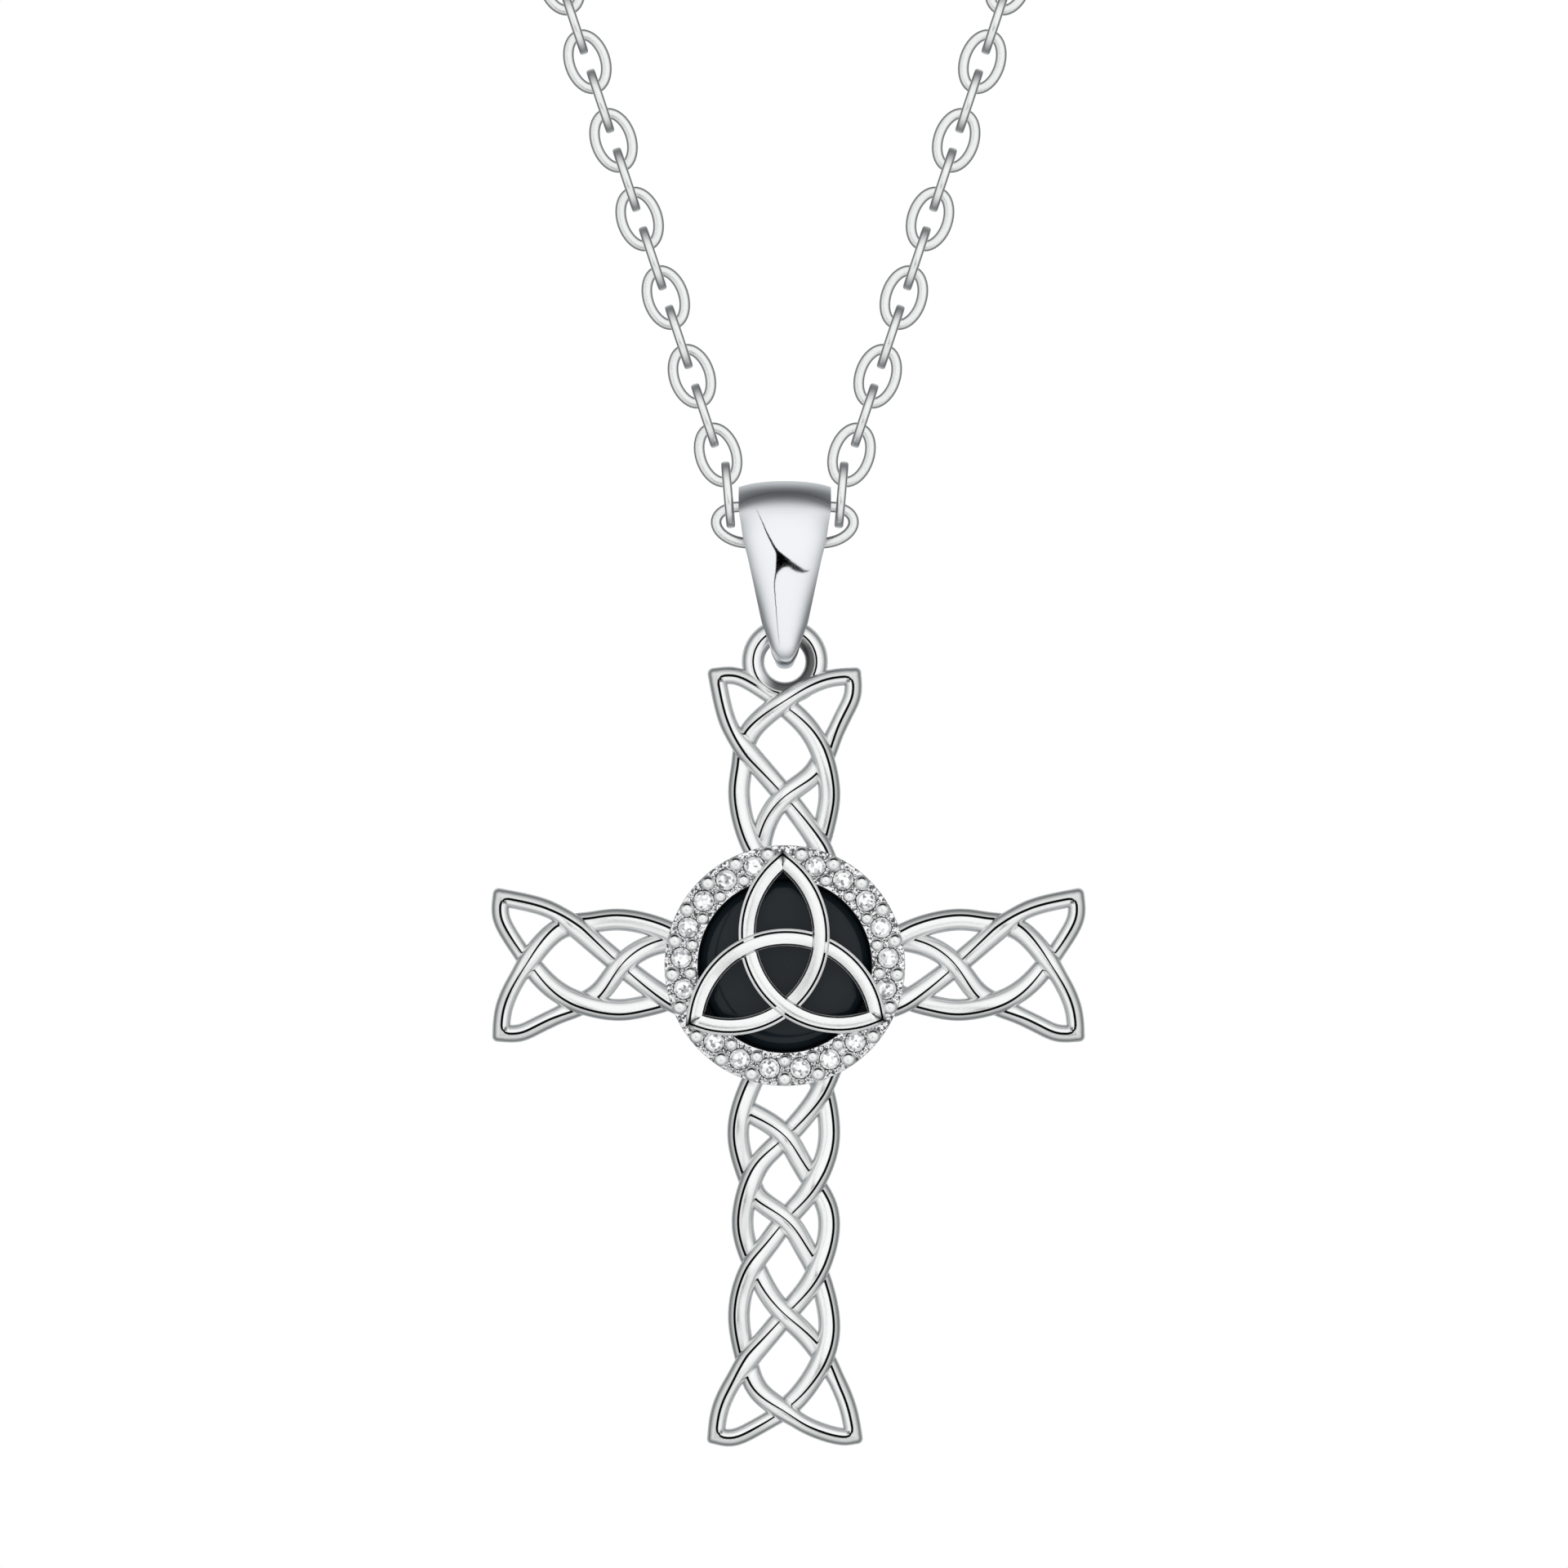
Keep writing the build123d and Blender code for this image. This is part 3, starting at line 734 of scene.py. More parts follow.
def build_setting():
    """The round band, cut with a tapered seat for each stone."""
    work = Build()
    lathe(work, [
        (HALO_INNER_R - LEDGE_WIDTH, -HALO_BACK),
        (HALO_OUTER_R - HALO_EDGE, -HALO_BACK),
        (HALO_OUTER_R, -HALO_BACK + HALO_EDGE),
        (HALO_OUTER_R, HALO_FRONT - RIM_ROUND),
        (HALO_OUTER_R - 0.02, HALO_FRONT - 0.02),
        (HALO_OUTER_R - RIM_ROUND, HALO_FRONT),
        (HALO_INNER_R + INNER_ROUND, HALO_FRONT),
        (HALO_INNER_R, HALO_FRONT - INNER_ROUND),
        (HALO_INNER_R, LEDGE_FRONT),
        (HALO_INNER_R - LEDGE_WIDTH, LEDGE_FRONT),
    ])
    setting = work.piece("stone_setting", "cross", PAVE_SILVER, "silver", smooth=False)
    seats = Build()
    seat_rings = (
        (SEAT_FOOT_R, HALO_FRONT - SEAT_DEPTH), (SEAT_R, HALO_FRONT - SEAT_WALL),
        (SEAT_R, HALO_FRONT - SEAT_LIP), (SEAT_R + SEAT_PAST, HALO_FRONT + SEAT_PAST),
    )
    for place in OPEN_PLACES:
        seats.grid([
            ring_place(place, STONE_RING_R, forward) + radius * out_at(even_turns(SEAT_STEPS))
            for radius, forward in seat_rings
        ])
    cutter = seats.piece("seat_cutter", "cross", PAVE_SILVER, "silver", smooth=False)
    cut = setting.modifiers.new("seats", "BOOLEAN")
    cut.operation = "DIFFERENCE"
    cut.solver = "EXACT"
    cut.object = cutter
    shown = bpy.context.evaluated_depsgraph_get()
    finished = bpy.data.meshes.new_from_object(setting.evaluated_get(shown))
    setting.modifiers.clear()
    setting.data = finished
    bpy.data.objects.remove(cutter)
    setting.data.shade_smooth()
    setting.data.set_sharp_from_angle(angle=math.radians(25))
    return setting


BEAD_ROWS = (
    {"ring": 3.81, "radius": 0.255},
    {"ring": 3.20, "radius": 0.22},
)
BEAD_STEPS = 28
BEAD_FLATNESS = 0.70
BEAD_RISE = 0.05
# How far a head curves over, and the stem under it as a share of its radius
BEAD_TURN = 0.62 * math.pi
BEAD_STEM = 0.95
BEAD_FOOT = 0.08
# A black crescent is painted under each bead's upper rim: painted shade
CRESCENT_REACH = (0.48, 0.57, 0.72, 0.82)
CRESCENT_TURN = 75.0
# The graver's row of small grains round every stone; past this turn their sides are painted black,
# painted shade
GRAINS = 17
GRAIN_R = 0.053
GRAIN_RING_R = 0.418
GRAIN_DARK_TURN = 1.0
GRAIN_SINK = 0.02


def build_beads():
    """Bead prongs between the stones: a raised stem with a burnished round head."""
    turns = even_turns(BEAD_STEPS)
    circle = out_at(turns)
    upward = 1 - ease(np.degrees(np.abs(turns - math.pi / 2)), 0.4 * CRESCENT_TURN, CRESCENT_TURN)
    work = Build()
    for row in BEAD_ROWS:
        for place in range(STONE_PLACES):
            rings, painted_shades = [], []
            for lean in np.linspace(0, BEAD_TURN, 20):
                reach = max(0.02, math.sin(lean))
                rise = BEAD_RISE + BEAD_FLATNESS * row["radius"] * math.cos(lean)
                middle = ring_place(place + 0.5, row["ring"], HALO_FRONT + rise)
                rings.append(middle + row["radius"] * reach * circle)
                # Painted shade: the crescent on the upper part of the head
                depth = np.interp(reach, CRESCENT_REACH, [0, 1, 1, 0]) * (math.cos(lean) > 0)
                painted_shades.append(depth * upward)
            foot = ring_place(place + 0.5, row["ring"], HALO_FRONT - BEAD_FOOT)
            rings.append(foot + BEAD_STEM * row["radius"] * circle)
            painted_shades.append(0 * turns)
            work.grid(rings, painted_shades)
    small = circle[::4]
    for place in OPEN_PLACES:
        for out in out_at(even_turns(GRAINS)):
            middle = ring_place(place, STONE_RING_R, HALO_FRONT) + GRAIN_RING_R * out
            # Painted shade: each grain's side past the dark turn, and the ring where it sinks into the
            # band, are painted black
            rings, painted_shades = [], []
            for lean in np.linspace(0.05, 0.5 * math.pi, 5):
                rings.append(middle + GRAIN_R * (math.sin(lean) * small + math.cos(lean) * FRONT))
                painted_shades.append(np.full(len(small), float(lean > GRAIN_DARK_TURN)))
            rings.append(middle + GRAIN_R * small - GRAIN_SINK * FRONT)
            painted_shades.append(np.ones(len(small)))
            work.grid(rings, painted_shades)
    return work.piece("bead_prongs", "cross", BURNISHED_SILVER, "silver")


# Section of the three-cornered knot's band, from its hollow side to its bulging side.
# across: share of the half width; height: share of the band's height; painted_shade: painted black line
# or bright
BAND_SECTION = [
    {"across": -1.00, "height": 0.00, "painted_shade": 0},
    {"across": -1.00, "height": 0.70, "painted_shade": 0},
    {"across": -0.94, "height": 0.82, "painted_shade": 0},
    {"across": -0.90, "height": 0.84, "painted_shade": 0},
    {"across": -0.87, "height": 0.76, "painted_shade": 1},
    {"across": -0.82, "height": 0.76, "painted_shade": 1},
    {"across": -0.79, "height": 0.90, "painted_shade": 0},
    {"across": -0.70, "height": 0.97, "painted_shade": 0},
    {"across": -0.20, "height": 1.00, "painted_shade": 0},
    {"across": 0.30, "height": 0.99, "painted_shade": 0},
    {"across": 0.44, "height": 0.95, "painted_shade": 0},
    {"across": 0.49, "height": 0.88, "painted_shade": 0},
    {"across": 0.52, "height": 0.74, "painted_shade": 1},
    {"across": 0.65, "height": 0.72, "painted_shade": 1},
    {"across": 0.69, "height": 0.80, "painted_shade": 0},
    {"across": 0.80, "height": 0.84, "painted_shade": 0},
    {"across": 0.94, "height": 0.78, "painted_shade": 0},
    {"across": 1.00, "height": 0.62, "painted_shade": 0},
    {"across": 1.00, "height": 0.00, "painted_shade": 0},
]
ARC_STEPS = 90
# The mitre's painted dark line is narrow, so each arc starts and ends with short steps
MITRE_STEP = 0.010
MITRE_DEPTH = 0.05
# Degrees from an arc's middle within which it goes from over to under, and past which it levels
CROSSING_TURN = 23.4
LEVEL_TURNS = (CROSSING_TURN + 4, CROSSING_TURN + 34)


def build_triquetra():
    """Three arcs joined at mitred tips, each over one neighbour and under the other."""
    tip_reach = (KNOT_OFFSET + math.sqrt(4 * KNOT_ARC_R**2 - 3 * KNOT_OFFSET**2)) / 2
    half_span = math.degrees(math.asin(tip_reach * math.sqrt(3) / 2 / KNOT_ARC_R))
    centre, heading, corners, level = [], [], [], []
    shares = np.concatenate([
        [0, MITRE_STEP, 2 * MITRE_STEP], np.linspace(0.04, 0.96, ARC_STEPS),
        [1 - 2 * MITRE_STEP, 1 - MITRE_STEP],
    ])
    for arc_turn in (150, 270, 30):
        turn = arc_turn + KNOT_TURN
        middle = KNOT_OFFSET * out_at(math.radians(turn))
        corners.append(len(centre))
        for offset in half_span * (1 - 2 * shares):
            out = out_at(math.radians(turn + 180 + offset))
            centre.append(CROSS + middle + KNOT_ARC_R * out)
            heading.append(np.cross(out, FRONT))
            if abs(offset) < CROSSING_TURN:
                level.append(math.sin(math.pi / 2 * offset / CROSSING_TURN))
            else:
                level.append(math.copysign(1 - float(ease(abs(offset), *LEVEL_TURNS)), offset))
    centre, heading = np.array(centre), np.array(heading)
    side, stretch = turn_corners(centre, heading, corners)
    across_share = np.array([row["across"] for row in BAND_SECTION])
    height_share = np.array([row["height"] for row in BAND_SECTION])
    shade_row = np.array([row["painted_shade"] for row in BAND_SECTION], float)
    rings, painted_shades = [], []
    for i in range(len(centre)):
        top = KNOT_FRONT - KNOT_LIFT + KNOT_LIFT * level[i]
        height = KNOT_BACK + (top - KNOT_BACK) * height_share
        painted_shade = shade_row.copy()
        # Painted shade: at the corners the band's top is painted black along the mitre's crease
        if i in corners:
            painted_shade[2:-2] = 1
            height = np.where(height > KNOT_BACK + 0.1, height - MITRE_DEPTH, height)
        # Sideways points to the hollow side of every arc, and the section starts there
        wide = across_share * KNOT_BAND / 2 * stretch[i]
        rings.append(centre[i] - wide[:, None] * side[i] + height[:, None] * FRONT)
        painted_shades.append(painted_shade)
    rings = np.array(rings)
    for corner in corners:
        hold_mitre(rings, centre, heading, corner, KNOT_MITRE_REACH)
    work = Build()
    work.grid(rings, painted_shades, closed_path=True)
    piece = work.piece("triquetra", "cross", SILVER, "silver")
    piece.data.set_sharp_from_angle(angle=math.radians(40))
    return piece


def build_ring():
    """The hanging ring, a round wire with a fine painted black line along its front, in a shallow
    groove, and painted shade inside.
    """
    work = Build()
    middle = EYE - np.array([0, 0, RING_MEAN_R])
    shares, heights, line_shade = strand_section(0.0, RING_LINE_HALF, RING_LINE_DEPTH)
    # The front of the wire on the ring's inner side
    inner_front = ease(-shares, *RING_SHADE_EDGE) * (heights > 0)
    rings, painted_shades = [], []
    for turn in even_turns(RING_STEPS):
        wide = RING_MEAN_R + shares * RING_WIRE / 2
        high = heights * RING_WIRE / 2
        rings.append(middle + wide[:, None] * out_at(turn) + high[:, None] * FRONT)
        # Painted shade on the inner front of the wire, darkest at the lower right
        low_right = ease(math.cos(turn - RING_SHADE_TURN), *RING_SHADE_SIDE)
        painted_shades.append(np.maximum(line_shade, RING_SHADE * low_right * inner_front))
    work.grid(rings, painted_shades, closed_path=True)
    return work.piece("hanging_ring", "cross", SILVER, "silver")


# Chain
def link_rings(middle, along, across, wire_steps, loop_steps):
    """Rings of points round the wire of one oval link, and their painted shades."""
    half_width = (LINK_WIDTH - LINK_WIRE) / 2
    normal = np.cross(along, across)
    wire = even_turns(wire_steps)
    wide, thick = (
        np.sign(place) * np.abs(place) ** LINK_FLATNESS * size / 2
        for place, size in ((np.cos(wire), LINK_WIRE), (np.sin(wire), LINK_THICKNESS))
    )
    rings = []
    for turn in even_turns(loop_steps):
        place = middle + LINK_END * math.cos(turn) * along + half_width * math.sin(turn) * across
        out = unit(half_width * math.cos(turn) * along + LINK_END * math.sin(turn) * across)
        rings.append(place + wide[:, None] * out + thick[:, None] * normal)
    # Painted shade: the wire's corners are darker, so each link is outlined dark
    corner = ease(np.abs(np.sin(2 * wire)), *LINK_CORNER_RANGE)
    shade = LINK_FACE_SHADE + (LINK_CORNER_SHADE - LINK_FACE_SHADE) * corner
    return rings, [shade] * loop_steps


def chain_route():
    """Middles and headings of all the links on the right, from the middle one to the clasp."""
    # From a link's middle to the middle of the wire of the next one, which lies in its end
    seat = LINK_END - LINK_WIRE - LINK_PLAY
    route = []
    for lean in [0.0, CROWN_LINK_LEAN, EDGE_LINK_LEAN] + [STRAND_LEAN] * (LINKS_EACH_SIDE - 2):
        way = out_at(math.radians(lean))
        if route:
            middle = route[-1][0] + seat * route[-1][1] + LINK_END * way
        else:
            middle = BAIL_AXIS
        route.append((middle, way))
    start, way = route[-1]
    # The neck's arc is tangent to the straight part, and as high and wide as the solid tube's
    # own bend: its middle is one radius below the top and one radius in from the widest place
    widest_top = np.array([chain_high[0] - LINK_WIDTH / 2, 0, (clasp_low[2] + clasp_high[2]) / 2])
    off_plumb = math.radians(90 - STRAND_LEAN)
    normal = np.array([way[2], 0, -way[0]])
    radius = float(normal @ (start - widest_top)) / (1 - float(normal.sum()))
    arc_middle = widest_top - radius * np.array([1, 0, 1])
    touch = arc_middle + radius * normal
    straight_run = float((touch - start) @ way)
    arc_run = radius * (math.pi / 2 + off_plumb)
    # The last link takes the clasp's loop, so its near end sits inside that loop
    clasp_reach = clasp_high[0] - CLASP_LOOP_WIRE - LINK_WIRE / 2 + LINK_END
    total = straight_run + arc_run + arc_middle[0] - clasp_reach
    count = 2 * round(total / LINK_PITCH / 2)
    for number in range(1, count + 1):
        gone = total * number / count
        past_straight = gone - straight_run
        past_arc = past_straight - arc_run
        if past_straight < 0:
            route.append((start + gone * way, way))
        elif past_arc < 0:
            out = out_at(past_straight / radius - off_plumb)
            route.append((arc_middle + radius * out, np.cross(FRONT, out)))
        else:
            level_place = arc_middle + np.array([-past_arc, 0, radius])
            route.append((level_place, np.array([-1.0, 0, 0])))
    return route


def build_chain():
    """Every link of the chain: those near the bail in one piece and the rest in another."""
    route = chain_route()
    depth = np.array([0.0, 1.0, 0.0])
    near, far = Build(), Build()
    for sign in (1, -1):
        flip = np.array([sign, 1, 1])
        # The middle link is drawn once
        first = 0 if sign == 1 else 1
        for number in range(first, len(route)):
            middle, along = (part * flip for part in route[number])
            across = depth if number % 2 == 0 else np.cross(along, depth)
            if number <= LINKS_EACH_SIDE:
                work, steps = near, NEAR_LINK_STEPS
            else:
                work, steps = far, FAR_LINK_STEPS
            work.grid(*link_rings(middle, along, across, *steps), closed_path=True)
    front = near.piece("chain_links_front", "chain", SILVER, "silver")
    back = far.piece("chain_links_back", "chain", SILVER, "silver")
    return front, back


# Bail. drop: per cent of its height below the top; half: per cent of its half width
BAIL_OUTLINE = [
    {"drop": -2.0, "half": 100.0},
    {"drop": 7.0, "half": 100.0},
    {"drop": 14.8, "half": 98.2},
    {"drop": 29.1, "half": 91.2},
    {"drop": 53.9, "half": 69.3},
    {"drop": 77.4, "half": 49.1},
    {"drop": 87.8, "half": 34.2},
    {"drop": 95.0, "half": 28.0},
    {"drop": 99.0, "half": 21.0},
    {"drop": 102.0, "half": 15.0},
]
CROWN_R = 1.65
CROWN_WALL = 0.53
EYE_INNER_R = 0.72
EYE_OUTER_R = 1.08
# The front's lean at heights above the chain's middle: + faces up, - faces down
FRONT_LEAN = [
    {"height": 1.245, "lean": 50.0},
    {"height": 0.80, "lean": 24.0},
    {"height": -0.93, "lean": -7.5},
    {"height": -1.80, "lean": -12.5},
    {"height": -3.93, "lean": -16.6},
]
RIDGE_TURN = 49.0
BAND_FULLNESS = 0.60
# How far the outside turns away at its edges: over the chain, at the ridge, below it and at the tip
EDGE_TURN_CROWN = 20.0
EDGE_TURN_RIDGE = 33.0
EDGE_TURN_TOP = 38.0
EDGE_TURN_TIP = 66.0
# Painted shade on both sides of the ridge: over the whole band, and as far down the front
RIDGE_SHADE = 0.56
RIDGE_SHADE_DROP = 0.60
# How far the ridge droops towards its ends
RIDGE_DROOP = 0.26
# Heights from the chain's middle at which the ridge's droop and the upper turn begin, and drops
# below it over which the tip's turn takes over
RIDGE_FOOT = 0.2
UPPER_TURN_FOOT = -0.2
TIP_TURN_DROP = (1.2, 4.6)
# The chain's opening is a little narrower than the bail
OPENING_WIDTH = 0.97


def bail_front_line():
    """Side view of the front, from the ridge down to the round of the tip, and its last lean."""
    heights = [row["height"] for row in FRONT_LEAN]
    leans = [row["lean"] for row in FRONT_LEAN]
    z = np.linspace(heights[0], heights[-1], 49)
    slopes = np.tan(np.radians(np.interp(z, heights[::-1], leans[::-1])))
    y = gain_along(z, slopes) - CROWN_R * math.cos(math.radians(RIDGE_TURN))
    return np.stack([y, z], 1), math.radians(-leans[-1])


def arc(middle, radius, first, last, count):
    """Points of an arc in the side view: a turn of 0 is backward and a quarter turn is up."""
    turns = np.linspace(first, last, count)
    return np.array(middle) + radius * np.stack([np.cos(turns), np.sin(turns)], 1)


def bail_walls():
    """Side views of the outside and the inside, with as many points, and the ridge's row."""
    foot = bail_low[2] + EYE_OUTER_R - BAIL_AXIS[2]
    eye = EYE[2] - BAIL_AXIS[2]
    quarter = math.pi / 2
    axis = (0.0, 0.0)

    # Outside, from the top forward and round: crown band, front, tip, back
    front, tip_lean = bail_front_line()
    top = np.array([0.0, CROWN_R])
    ridge_turn = math.radians(RIDGE_TURN)
    band = []
    for share in np.linspace(0, 1, 13)[:-1]:
        turn = quarter + (ridge_turn - quarter) * share
        flat = top + (front[0] - top) * share
        full = CROWN_R * np.array([-math.cos(turn), math.sin(turn)])
        band.append(flat + (full - flat) * BAND_FULLNESS)
    tip_middle = (front[-1][0] + EYE_OUTER_R * math.cos(tip_lean), foot)
    tip = arc(tip_middle, EYE_OUTER_R, math.pi + tip_lean, 3 * quarter, 13)[1:]
    back_lean = math.asin((CROWN_R - EYE_OUTER_R) / -foot)
    back_tip = arc((0, foot), EYE_OUTER_R, -quarter, -back_lean, 12)[1:]
    back_crown = arc(axis, CROWN_R, -back_lean, quarter, 24)[:-1]
    back_side = np.linspace(back_tip[-1], back_crown[0], 14)[1:-1]
    outer = np.concatenate([band, front, tip, back_tip, back_side, back_crown])

    # Inside: the same walk round the opening
    inner_r = CROWN_R - CROWN_WALL
    lean = math.asin((inner_r - EYE_INNER_R) / -eye)
    walk = np.concatenate([
        arc(axis, inner_r, quarter, math.pi + lean, 20),
        arc((0, eye), EYE_INNER_R, math.pi + lean, 2 * math.pi - lean, 20),
        arc(axis, inner_r, -lean, quarter, 20),
    ])
    run, walk_run = run_along(outer), run_along(walk)
    at = run / (run[-1] + np.linalg.norm(outer[0] - outer[-1])) * walk_run[-1]
    inner = np.stack([np.interp(at, walk_run, walk[:, k]) for k in (0, 1)], 1)
    return outer, inner, len(band)


def build_bail():
    """The bail: a closed strap, wide over the chain, narrow through the hanging ring."""
    height = bail_high[2] - bail_low[2]
    half_width = (bail_high[0] - bail_low[0]) / 2
    foot = bail_low[2] + EYE_OUTER_R - BAIL_AXIS[2]
    outer, inner, ridge_row = bail_walls()
    ridge_z = outer[ridge_row][1]
    drops = [row["drop"] for row in BAIL_OUTLINE]
    halves = [row["half"] for row in BAIL_OUTLINE]

    # The outside is crowned across: nearly flat in the middle, turning away faster at the edges
    shares = np.sin(np.linspace(-1, 1, 41) * math.pi / 2)
    swell = (shares + shares * shares**2) / 2
    rings, painted_shades = [], []
    for i, ((y, z), (inner_y, inner_z)) in enumerate(zip(outer, inner)):
        wide = half_width * np.interp((CROWN_R - z) / height * 100, drops, halves) / 100
        along = outer[(i + 1) % len(outer)] - outer[i - 1]
        out = unit(np.array([0, y, z] if i < ridge_row else [0, -along[1], along[0]]))
        if out @ np.array([0, y, z - max(foot, min(0, z))]) < 0:
            out = -out
        down = unit(np.array([0, -along[0], -along[1]]))
        if down[2] > 0:
            down = -down
        if i < ridge_row:
            near_ridge = i / ridge_row
            shade = near_ridge**4
            edge_turn = EDGE_TURN_CROWN + (EDGE_TURN_RIDGE - EDGE_TURN_CROWN) * near_ridge
        else:
            near_ridge = float(ease(z, RIDGE_FOOT, ridge_z)) * (y < 0)
            shade = float(ease(z, ridge_z - RIDGE_SHADE_DROP, ridge_z)) * (y < 0)
            near_tip = float(ease(-z, *TIP_TURN_DROP))
            edge_turn = EDGE_TURN_TOP + (EDGE_TURN_TIP - EDGE_TURN_TOP) * near_tip
            upper_turn = EDGE_TURN_RIDGE if y < 0 else EDGE_TURN_CROWN
            edge_turn += (upper_turn - EDGE_TURN_TOP) * float(ease(z, UPPER_TURN_FOOT, ridge_z))
        gain = gain_along(shares, np.tan(math.radians(edge_turn) * swell))
        drop = wide * (gain - gain.min())
        droop = RIDGE_DROOP * near_ridge * shares**2
        outer_row = [
            BAIL_AXIS + np.array([share * wide, y, z]) - low * out + slip * down
            for share, low, slip in zip(shares, drop, droop)
        ]
        inner_row = [
            BAIL_AXIS + np.array([share * wide * OPENING_WIDTH, inner_y, inner_z])
            for share in np.linspace(1, -1, 17)
        ]
        rings.append(outer_row + inner_row)
        # Painted shade on the outside near the ridge; the inside stays bare silver
        painted_shades.append([RIDGE_SHADE * shade] * len(outer_row) + [0.0] * len(inner_row))
    work = Build()
    work.grid(rings, painted_shades, closed_path=True)
    piece = work.piece("polished_bail", "bail", MIRROR_SILVER, "silver")
    size = len(rings[0])
    corner_lines = (0, len(shares) - 1, len(shares), size - 1)
    crease = piece.data.attributes.new("sharp_edge", "BOOLEAN", "EDGE")
    for edge in piece.data.edges:
        (row_a, at_a), (row_b, at_b) = (divmod(point, size) for point in edge.vertices)
        on_ridge = row_a == row_b == ridge_row and max(at_a, at_b) < len(shares)
        crease.data[edge.index].value = on_ridge or (at_a == at_b and at_a in corner_lines)
    return piece


# The disc's bevel behind, and how far its front falls and over what width
DISC_BEVEL = 0.05
DISC_FALL = 0.26
DISC_FALL_WIDTH = 0.75
DISC_FALL_START = 0.15


def build_onyx():
    """The disc, flat in the middle and rounded over near its edge."""
    low, high = -disc_high[1] - ARM_FORWARD, -disc_low[1] - ARM_FORWARD
    radius = (disc_high[0] - disc_low[0]) / 2
    rows = [
        (radius / 2, low), (radius - DISC_BEVEL, low), (radius, low + DISC_BEVEL),
        (radius, high - DISC_FALL),
    ]
    for turn in np.linspace(DISC_FALL_START, math.pi / 2, 10):
        inward = DISC_FALL_WIDTH * (1 - math.cos(turn))
        rows.append((radius - inward, high - DISC_FALL * (1 - math.sin(turn))))
    rows.append((radius / 2, high))
    rims = out_at(even_turns(ROUND_STEPS))
    work = Build()
    work.grid([CROSS + reach * rims + forward * FRONT for reach, forward in rows])
    piece = work.piece("onyx_dome", "cross", ONYX, "onyx")
    piece.data.set_sharp_from_angle(angle=math.radians(50))
    return piece


knotwork = build_knotwork()
setting = build_setting()
beads = build_beads()
triquetra = build_triquetra()
ring = build_ring()
for piece in (knotwork, setting, beads, triquetra, ring):
    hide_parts("cross")
chain_front, chain_back = build_chain()
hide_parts("chain_front")
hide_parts("chain_back")
# The photographed bail shows nothing of the chain in its polish
for piece in (chain_front, chain_back, frame["nodes"]["clasp"]):
    piece.visible_glossy = False
bail = build_bail()
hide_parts("bail")
onyx = build_onyx()
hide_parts("onyx_disc")

for name, cad in frame["nodes"].items():
    finish = ZIRCONIA if name.startswith("stone_") else SILVER
    cad.data.materials.clear()
    cad.data.materials.append(finish)
    if name == "clasp":
        cad.data.shade_smooth()
        cad.data.set_sharp_from_angle(angle=math.radians(30))

# Studio: a pale floor, soft boxes and a grey room
FLOOR_GAP = 40.0
FLOOR_SIZE = 1400.0


def plain_paper(name, colour):
    """Matt white paper: pale and even, with no gloss."""
    material, shader = new_material(name)
    grain = add_node(material, "ShaderNodeTexNoise", Scale=40.0, Detail=2.0)
    tone = add_node(material, "ShaderNodeMix", RGBA, n0=grain, n6=linear(colour), n7=linear("#fbfbfb"))
    feed(material, shader, Base_Color=tone, Roughness=0.9)
    return material


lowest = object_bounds()[0].z
floor_z = lowest / MM - FLOOR_GAP
half_floor = FLOOR_SIZE / 2 * MM
floor_mesh = bpy.data.meshes.new("studio_floor")
floor_corners = [
    (side * half_floor, ahead * half_floor, floor_z * MM)
    for side, ahead in ((-1, -1), (1, -1), (1, 1), (-1, 1))
]
floor_mesh.from_pydata(floor_corners, [], [(0, 1, 2, 3)])
floor_mesh.materials.append(plain_paper("studio_paper", "#f4f4f4"))
floor = bpy.data.objects.new("studio_floor", floor_mesh)
bpy.context.scene.collection.objects.link(floor)
# The paper is too near to mirror in the silver, which shows the soft boxes instead
floor.visible_glossy = False

# The room by its direction from the cross: bright in front, grey at the sides, lit again from
# behind and a little darker overhead. Places in front are across and up, as tangents from
# straight ahead
SOFT_BOXES = [
    {"corner": (-0.115, -0.275), "edges": (115.5, 228.2)},
    {"corner": (-0.070, -0.232), "edges": (-17.0, 117.6)},
    {"corner": (-0.088, -0.292), "edges": (226.8, 346.0)},
]
BOX_ROUND = 0.17
BOX_SOFT = 0.004
BOXES_MIDDLE = (-0.09, -0.27)
BOXES_REACH = (1.6, 2.6)


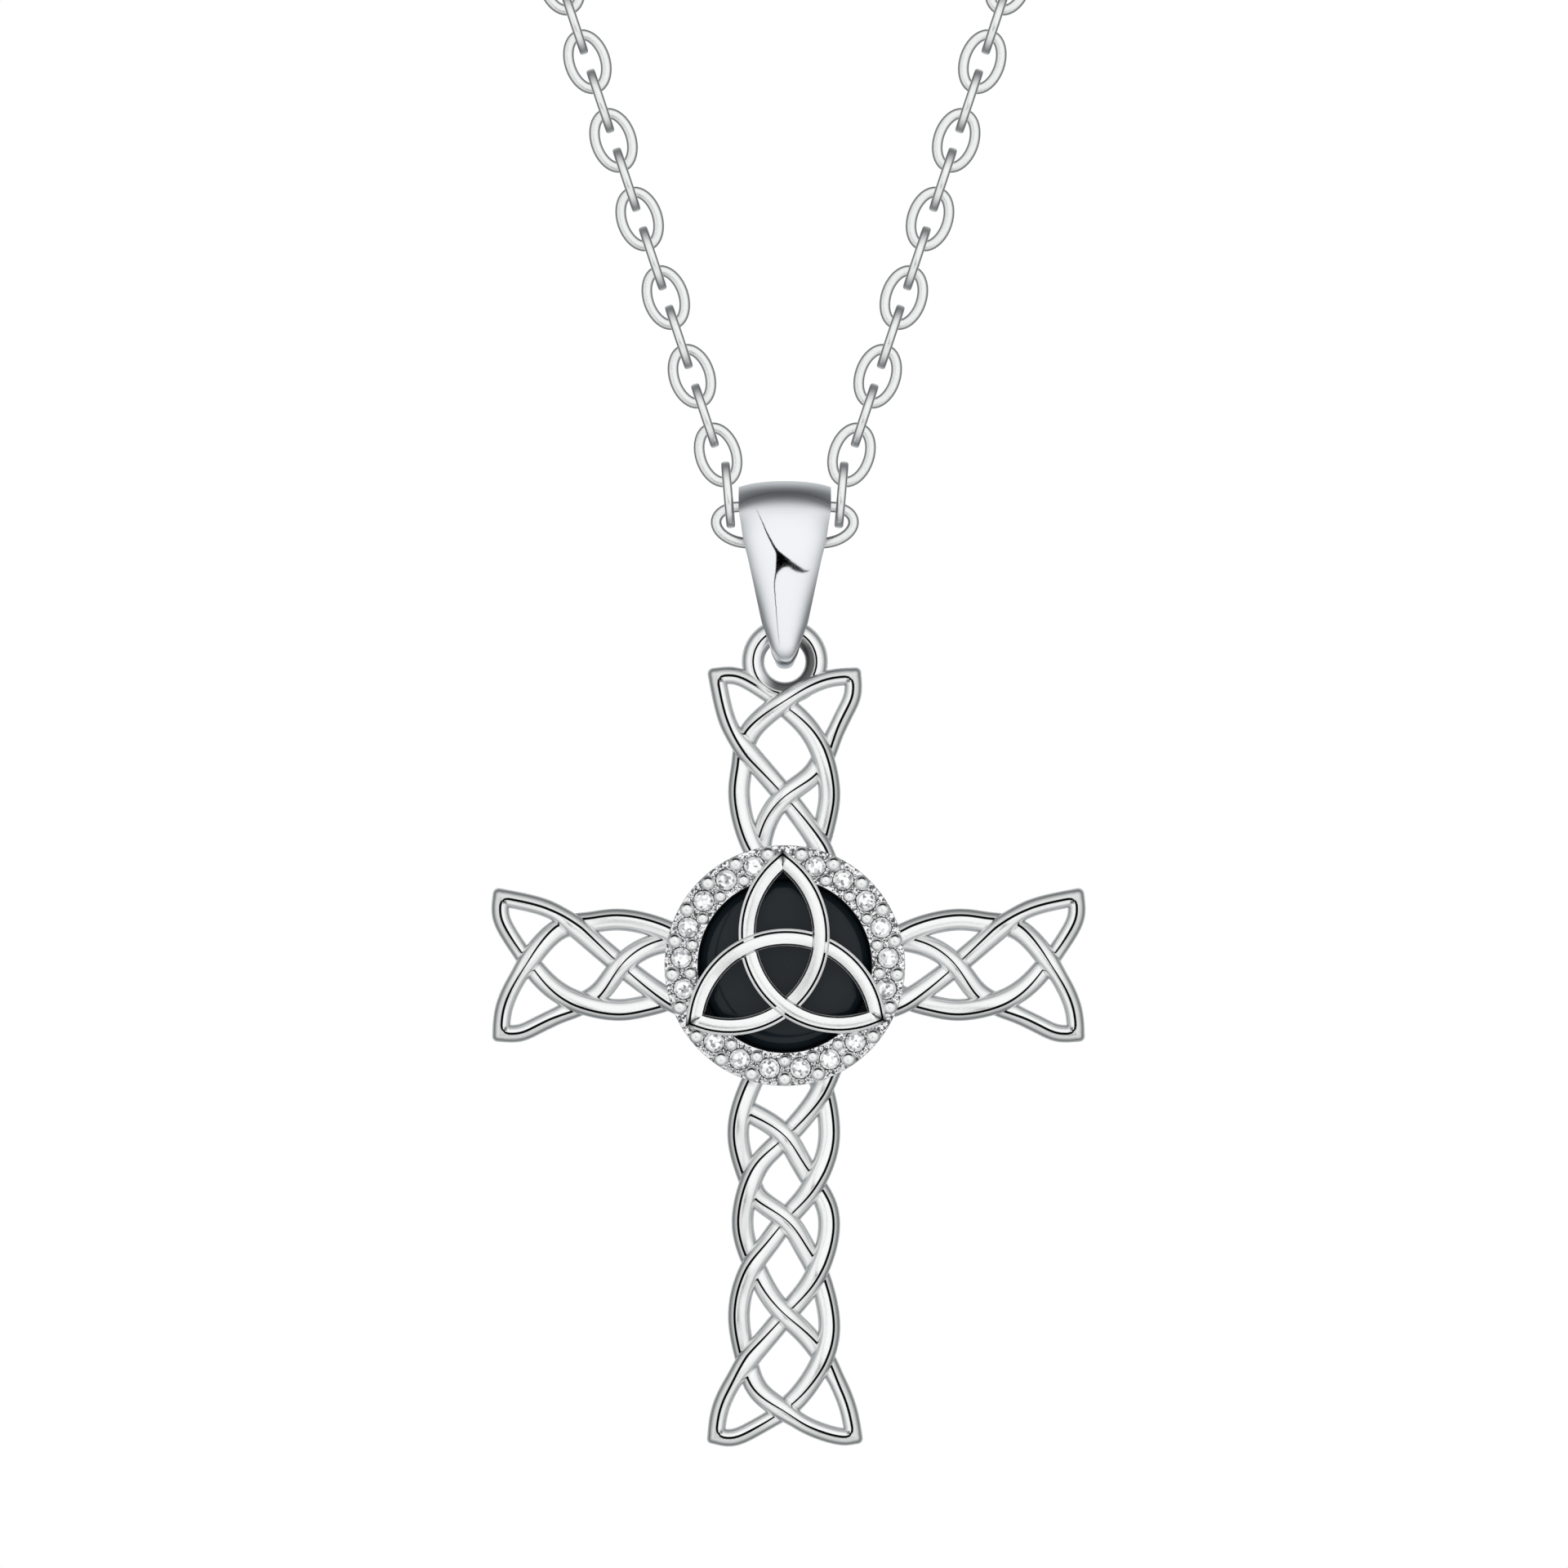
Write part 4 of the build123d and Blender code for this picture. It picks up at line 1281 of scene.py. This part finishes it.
def build_room():
    """The studio: three soft boxes side by side in front, in a grey room."""
    room = bpy.data.worlds.new("studio_room")
    room.use_nodes = True
    place = add_node(room, "ShaderNodeTexCoord")
    parts = add_node(room, "ShaderNodeSeparateXYZ", Vector=place.outputs["Generated"])
    ahead = add_node(room, "ShaderNodeMath", MULTIPLY, n0=parts.outputs["Y"], n1=-1.0)
    front_light = add_node(
        room, "ShaderNodeMapRange", SMOOTH, Value=ahead,
        From_Min=-0.22, From_Max=1.00, To_Min=0.28, To_Max=1.10,
    )
    tint = add_node(room, "ShaderNodeMapRange", SMOOTH, Value=ahead, From_Min=-0.10, From_Max=0.80)
    colour = add_node(room, "ShaderNodeMix", RGBA, n0=tint, n6=linear("#f1f5f7"), n7=linear("#fefefe"))
    overhead = add_node(
        room, "ShaderNodeMapRange", SMOOTH, Value=parts.outputs["Z"],
        From_Min=0.50, From_Max=1.00, To_Min=1.0, To_Max=0.80,
    )
    before = add_node(room, "ShaderNodeMath", MAXIMUM, n0=ahead, n1=0.15)
    across = add_node(room, "ShaderNodeMath", {"operation": "DIVIDE"}, n0=parts.outputs["X"], n1=before)
    up = add_node(room, "ShaderNodeMath", {"operation": "DIVIDE"}, n0=parts.outputs["Z"], n1=before)
    seen_at = add_node(room, "ShaderNodeCombineXYZ", X=across, Y=up, Z=1.0)
    # Past the boxes there are no more gaps
    from_boxes = add_node(room, "ShaderNodeVectorMath", DISTANCE, n0=seen_at, n1=(*BOXES_MIDDLE, 1.0))
    lit = add_node(
        room, "ShaderNodeMapRange", SMOOTH, Value=from_boxes,
        From_Min=BOXES_REACH[0], From_Max=BOXES_REACH[1],
    )
    for box in SOFT_BOXES:
        corner = np.array(box["corner"])
        first, last = (math.radians(edge) for edge in box["edges"])
        past = []
        for inward in ((-math.sin(first), math.cos(first)), (math.sin(last), -math.cos(last))):
            shift = BOX_ROUND + float(corner @ np.array(inward))
            past.append(add_node(
                room, "ShaderNodeVectorMath", {"operation": "DOT_PRODUCT"},
                n0=seen_at, n1=(-inward[0], -inward[1], shift),
            ))
        both = add_node(room, "ShaderNodeCombineXYZ", X=past[0], Y=past[1])
        outside = add_node(room, "ShaderNodeVectorMath", MAXIMUM, n0=both, n1=(0, 0, 0))
        reach = add_node(room, "ShaderNodeVectorMath", {"operation": "LENGTH"}, n0=outside)
        inside = add_node(
            room, "ShaderNodeMapRange", SMOOTH, Value=reach,
            From_Min=BOX_ROUND - BOX_SOFT, From_Max=BOX_ROUND + BOX_SOFT, To_Min=1.0, To_Max=0.0,
        )
        lit = add_node(room, "ShaderNodeMath", MAXIMUM, n0=lit, n1=inside)
    glow = add_node(room, "ShaderNodeMath", MULTIPLY, n0=front_light, n1=overhead)
    behind = add_node(
        room, "ShaderNodeMapRange", SMOOTH, Value=ahead,
        From_Min=-0.48, From_Max=-1.0, To_Min=0.0, To_Max=0.45,
    )
    glow = add_node(room, "ShaderNodeMath", {"operation": "ADD"}, n0=glow, n1=behind)
    strength = add_node(room, "ShaderNodeMath", MULTIPLY, n0=glow, n1=lit)
    around = add_node(room, "ShaderNodeBackground", Color=colour, Strength=strength)
    # White paper far behind the cross, and the even light that matt things get
    backdrop = add_node(room, "ShaderNodeBackground", Color=(1, 1, 1, 1), Strength=1.0)
    path = add_node(room, "ShaderNodeLightPath")
    even = add_node(
        room, "ShaderNodeMath", MAXIMUM,
        n0=path.outputs["Is Camera Ray"], n1=path.outputs["Is Diffuse Ray"],
    )
    mixed = add_node(room, "ShaderNodeMixShader", n0=even, n1=around, n2=backdrop)
    feed(room, room.node_tree.nodes["World Output"], Surface=mixed)
    return room


bpy.context.scene.world = build_room()
bpy.context.scene.view_settings.view_transform = "Standard"

# Camera, straight in front with a long lens, framed as the photograph is
pixel = PHOTO_WIDTH / PHOTO_PIXELS
aim_x = CROSS[0] + (PHOTO_PIXELS / 2 - CROSS_PIXEL[0]) * pixel
aim_z = CROSS[2] + (CROSS_PIXEL[1] - PHOTO_PIXELS / 2) * pixel
camera_data = bpy.data.cameras.new("camera")
camera_data.sensor_width = SENSOR_WIDTH
camera_data.lens = SENSOR_WIDTH * CAMERA_DISTANCE / PHOTO_WIDTH
camera_data.clip_start = 0.05
camera_data.clip_end = 20
camera = bpy.data.objects.new("camera", camera_data)
camera.location = Vector((aim_x, CROSS[1] - CAMERA_DISTANCE, aim_z)) * MM
camera.rotation_euler = (math.pi / 2, 0, 0)
bpy.context.scene.collection.objects.link(camera)
bpy.context.scene.camera = camera

bpy.context.view_layer.update()
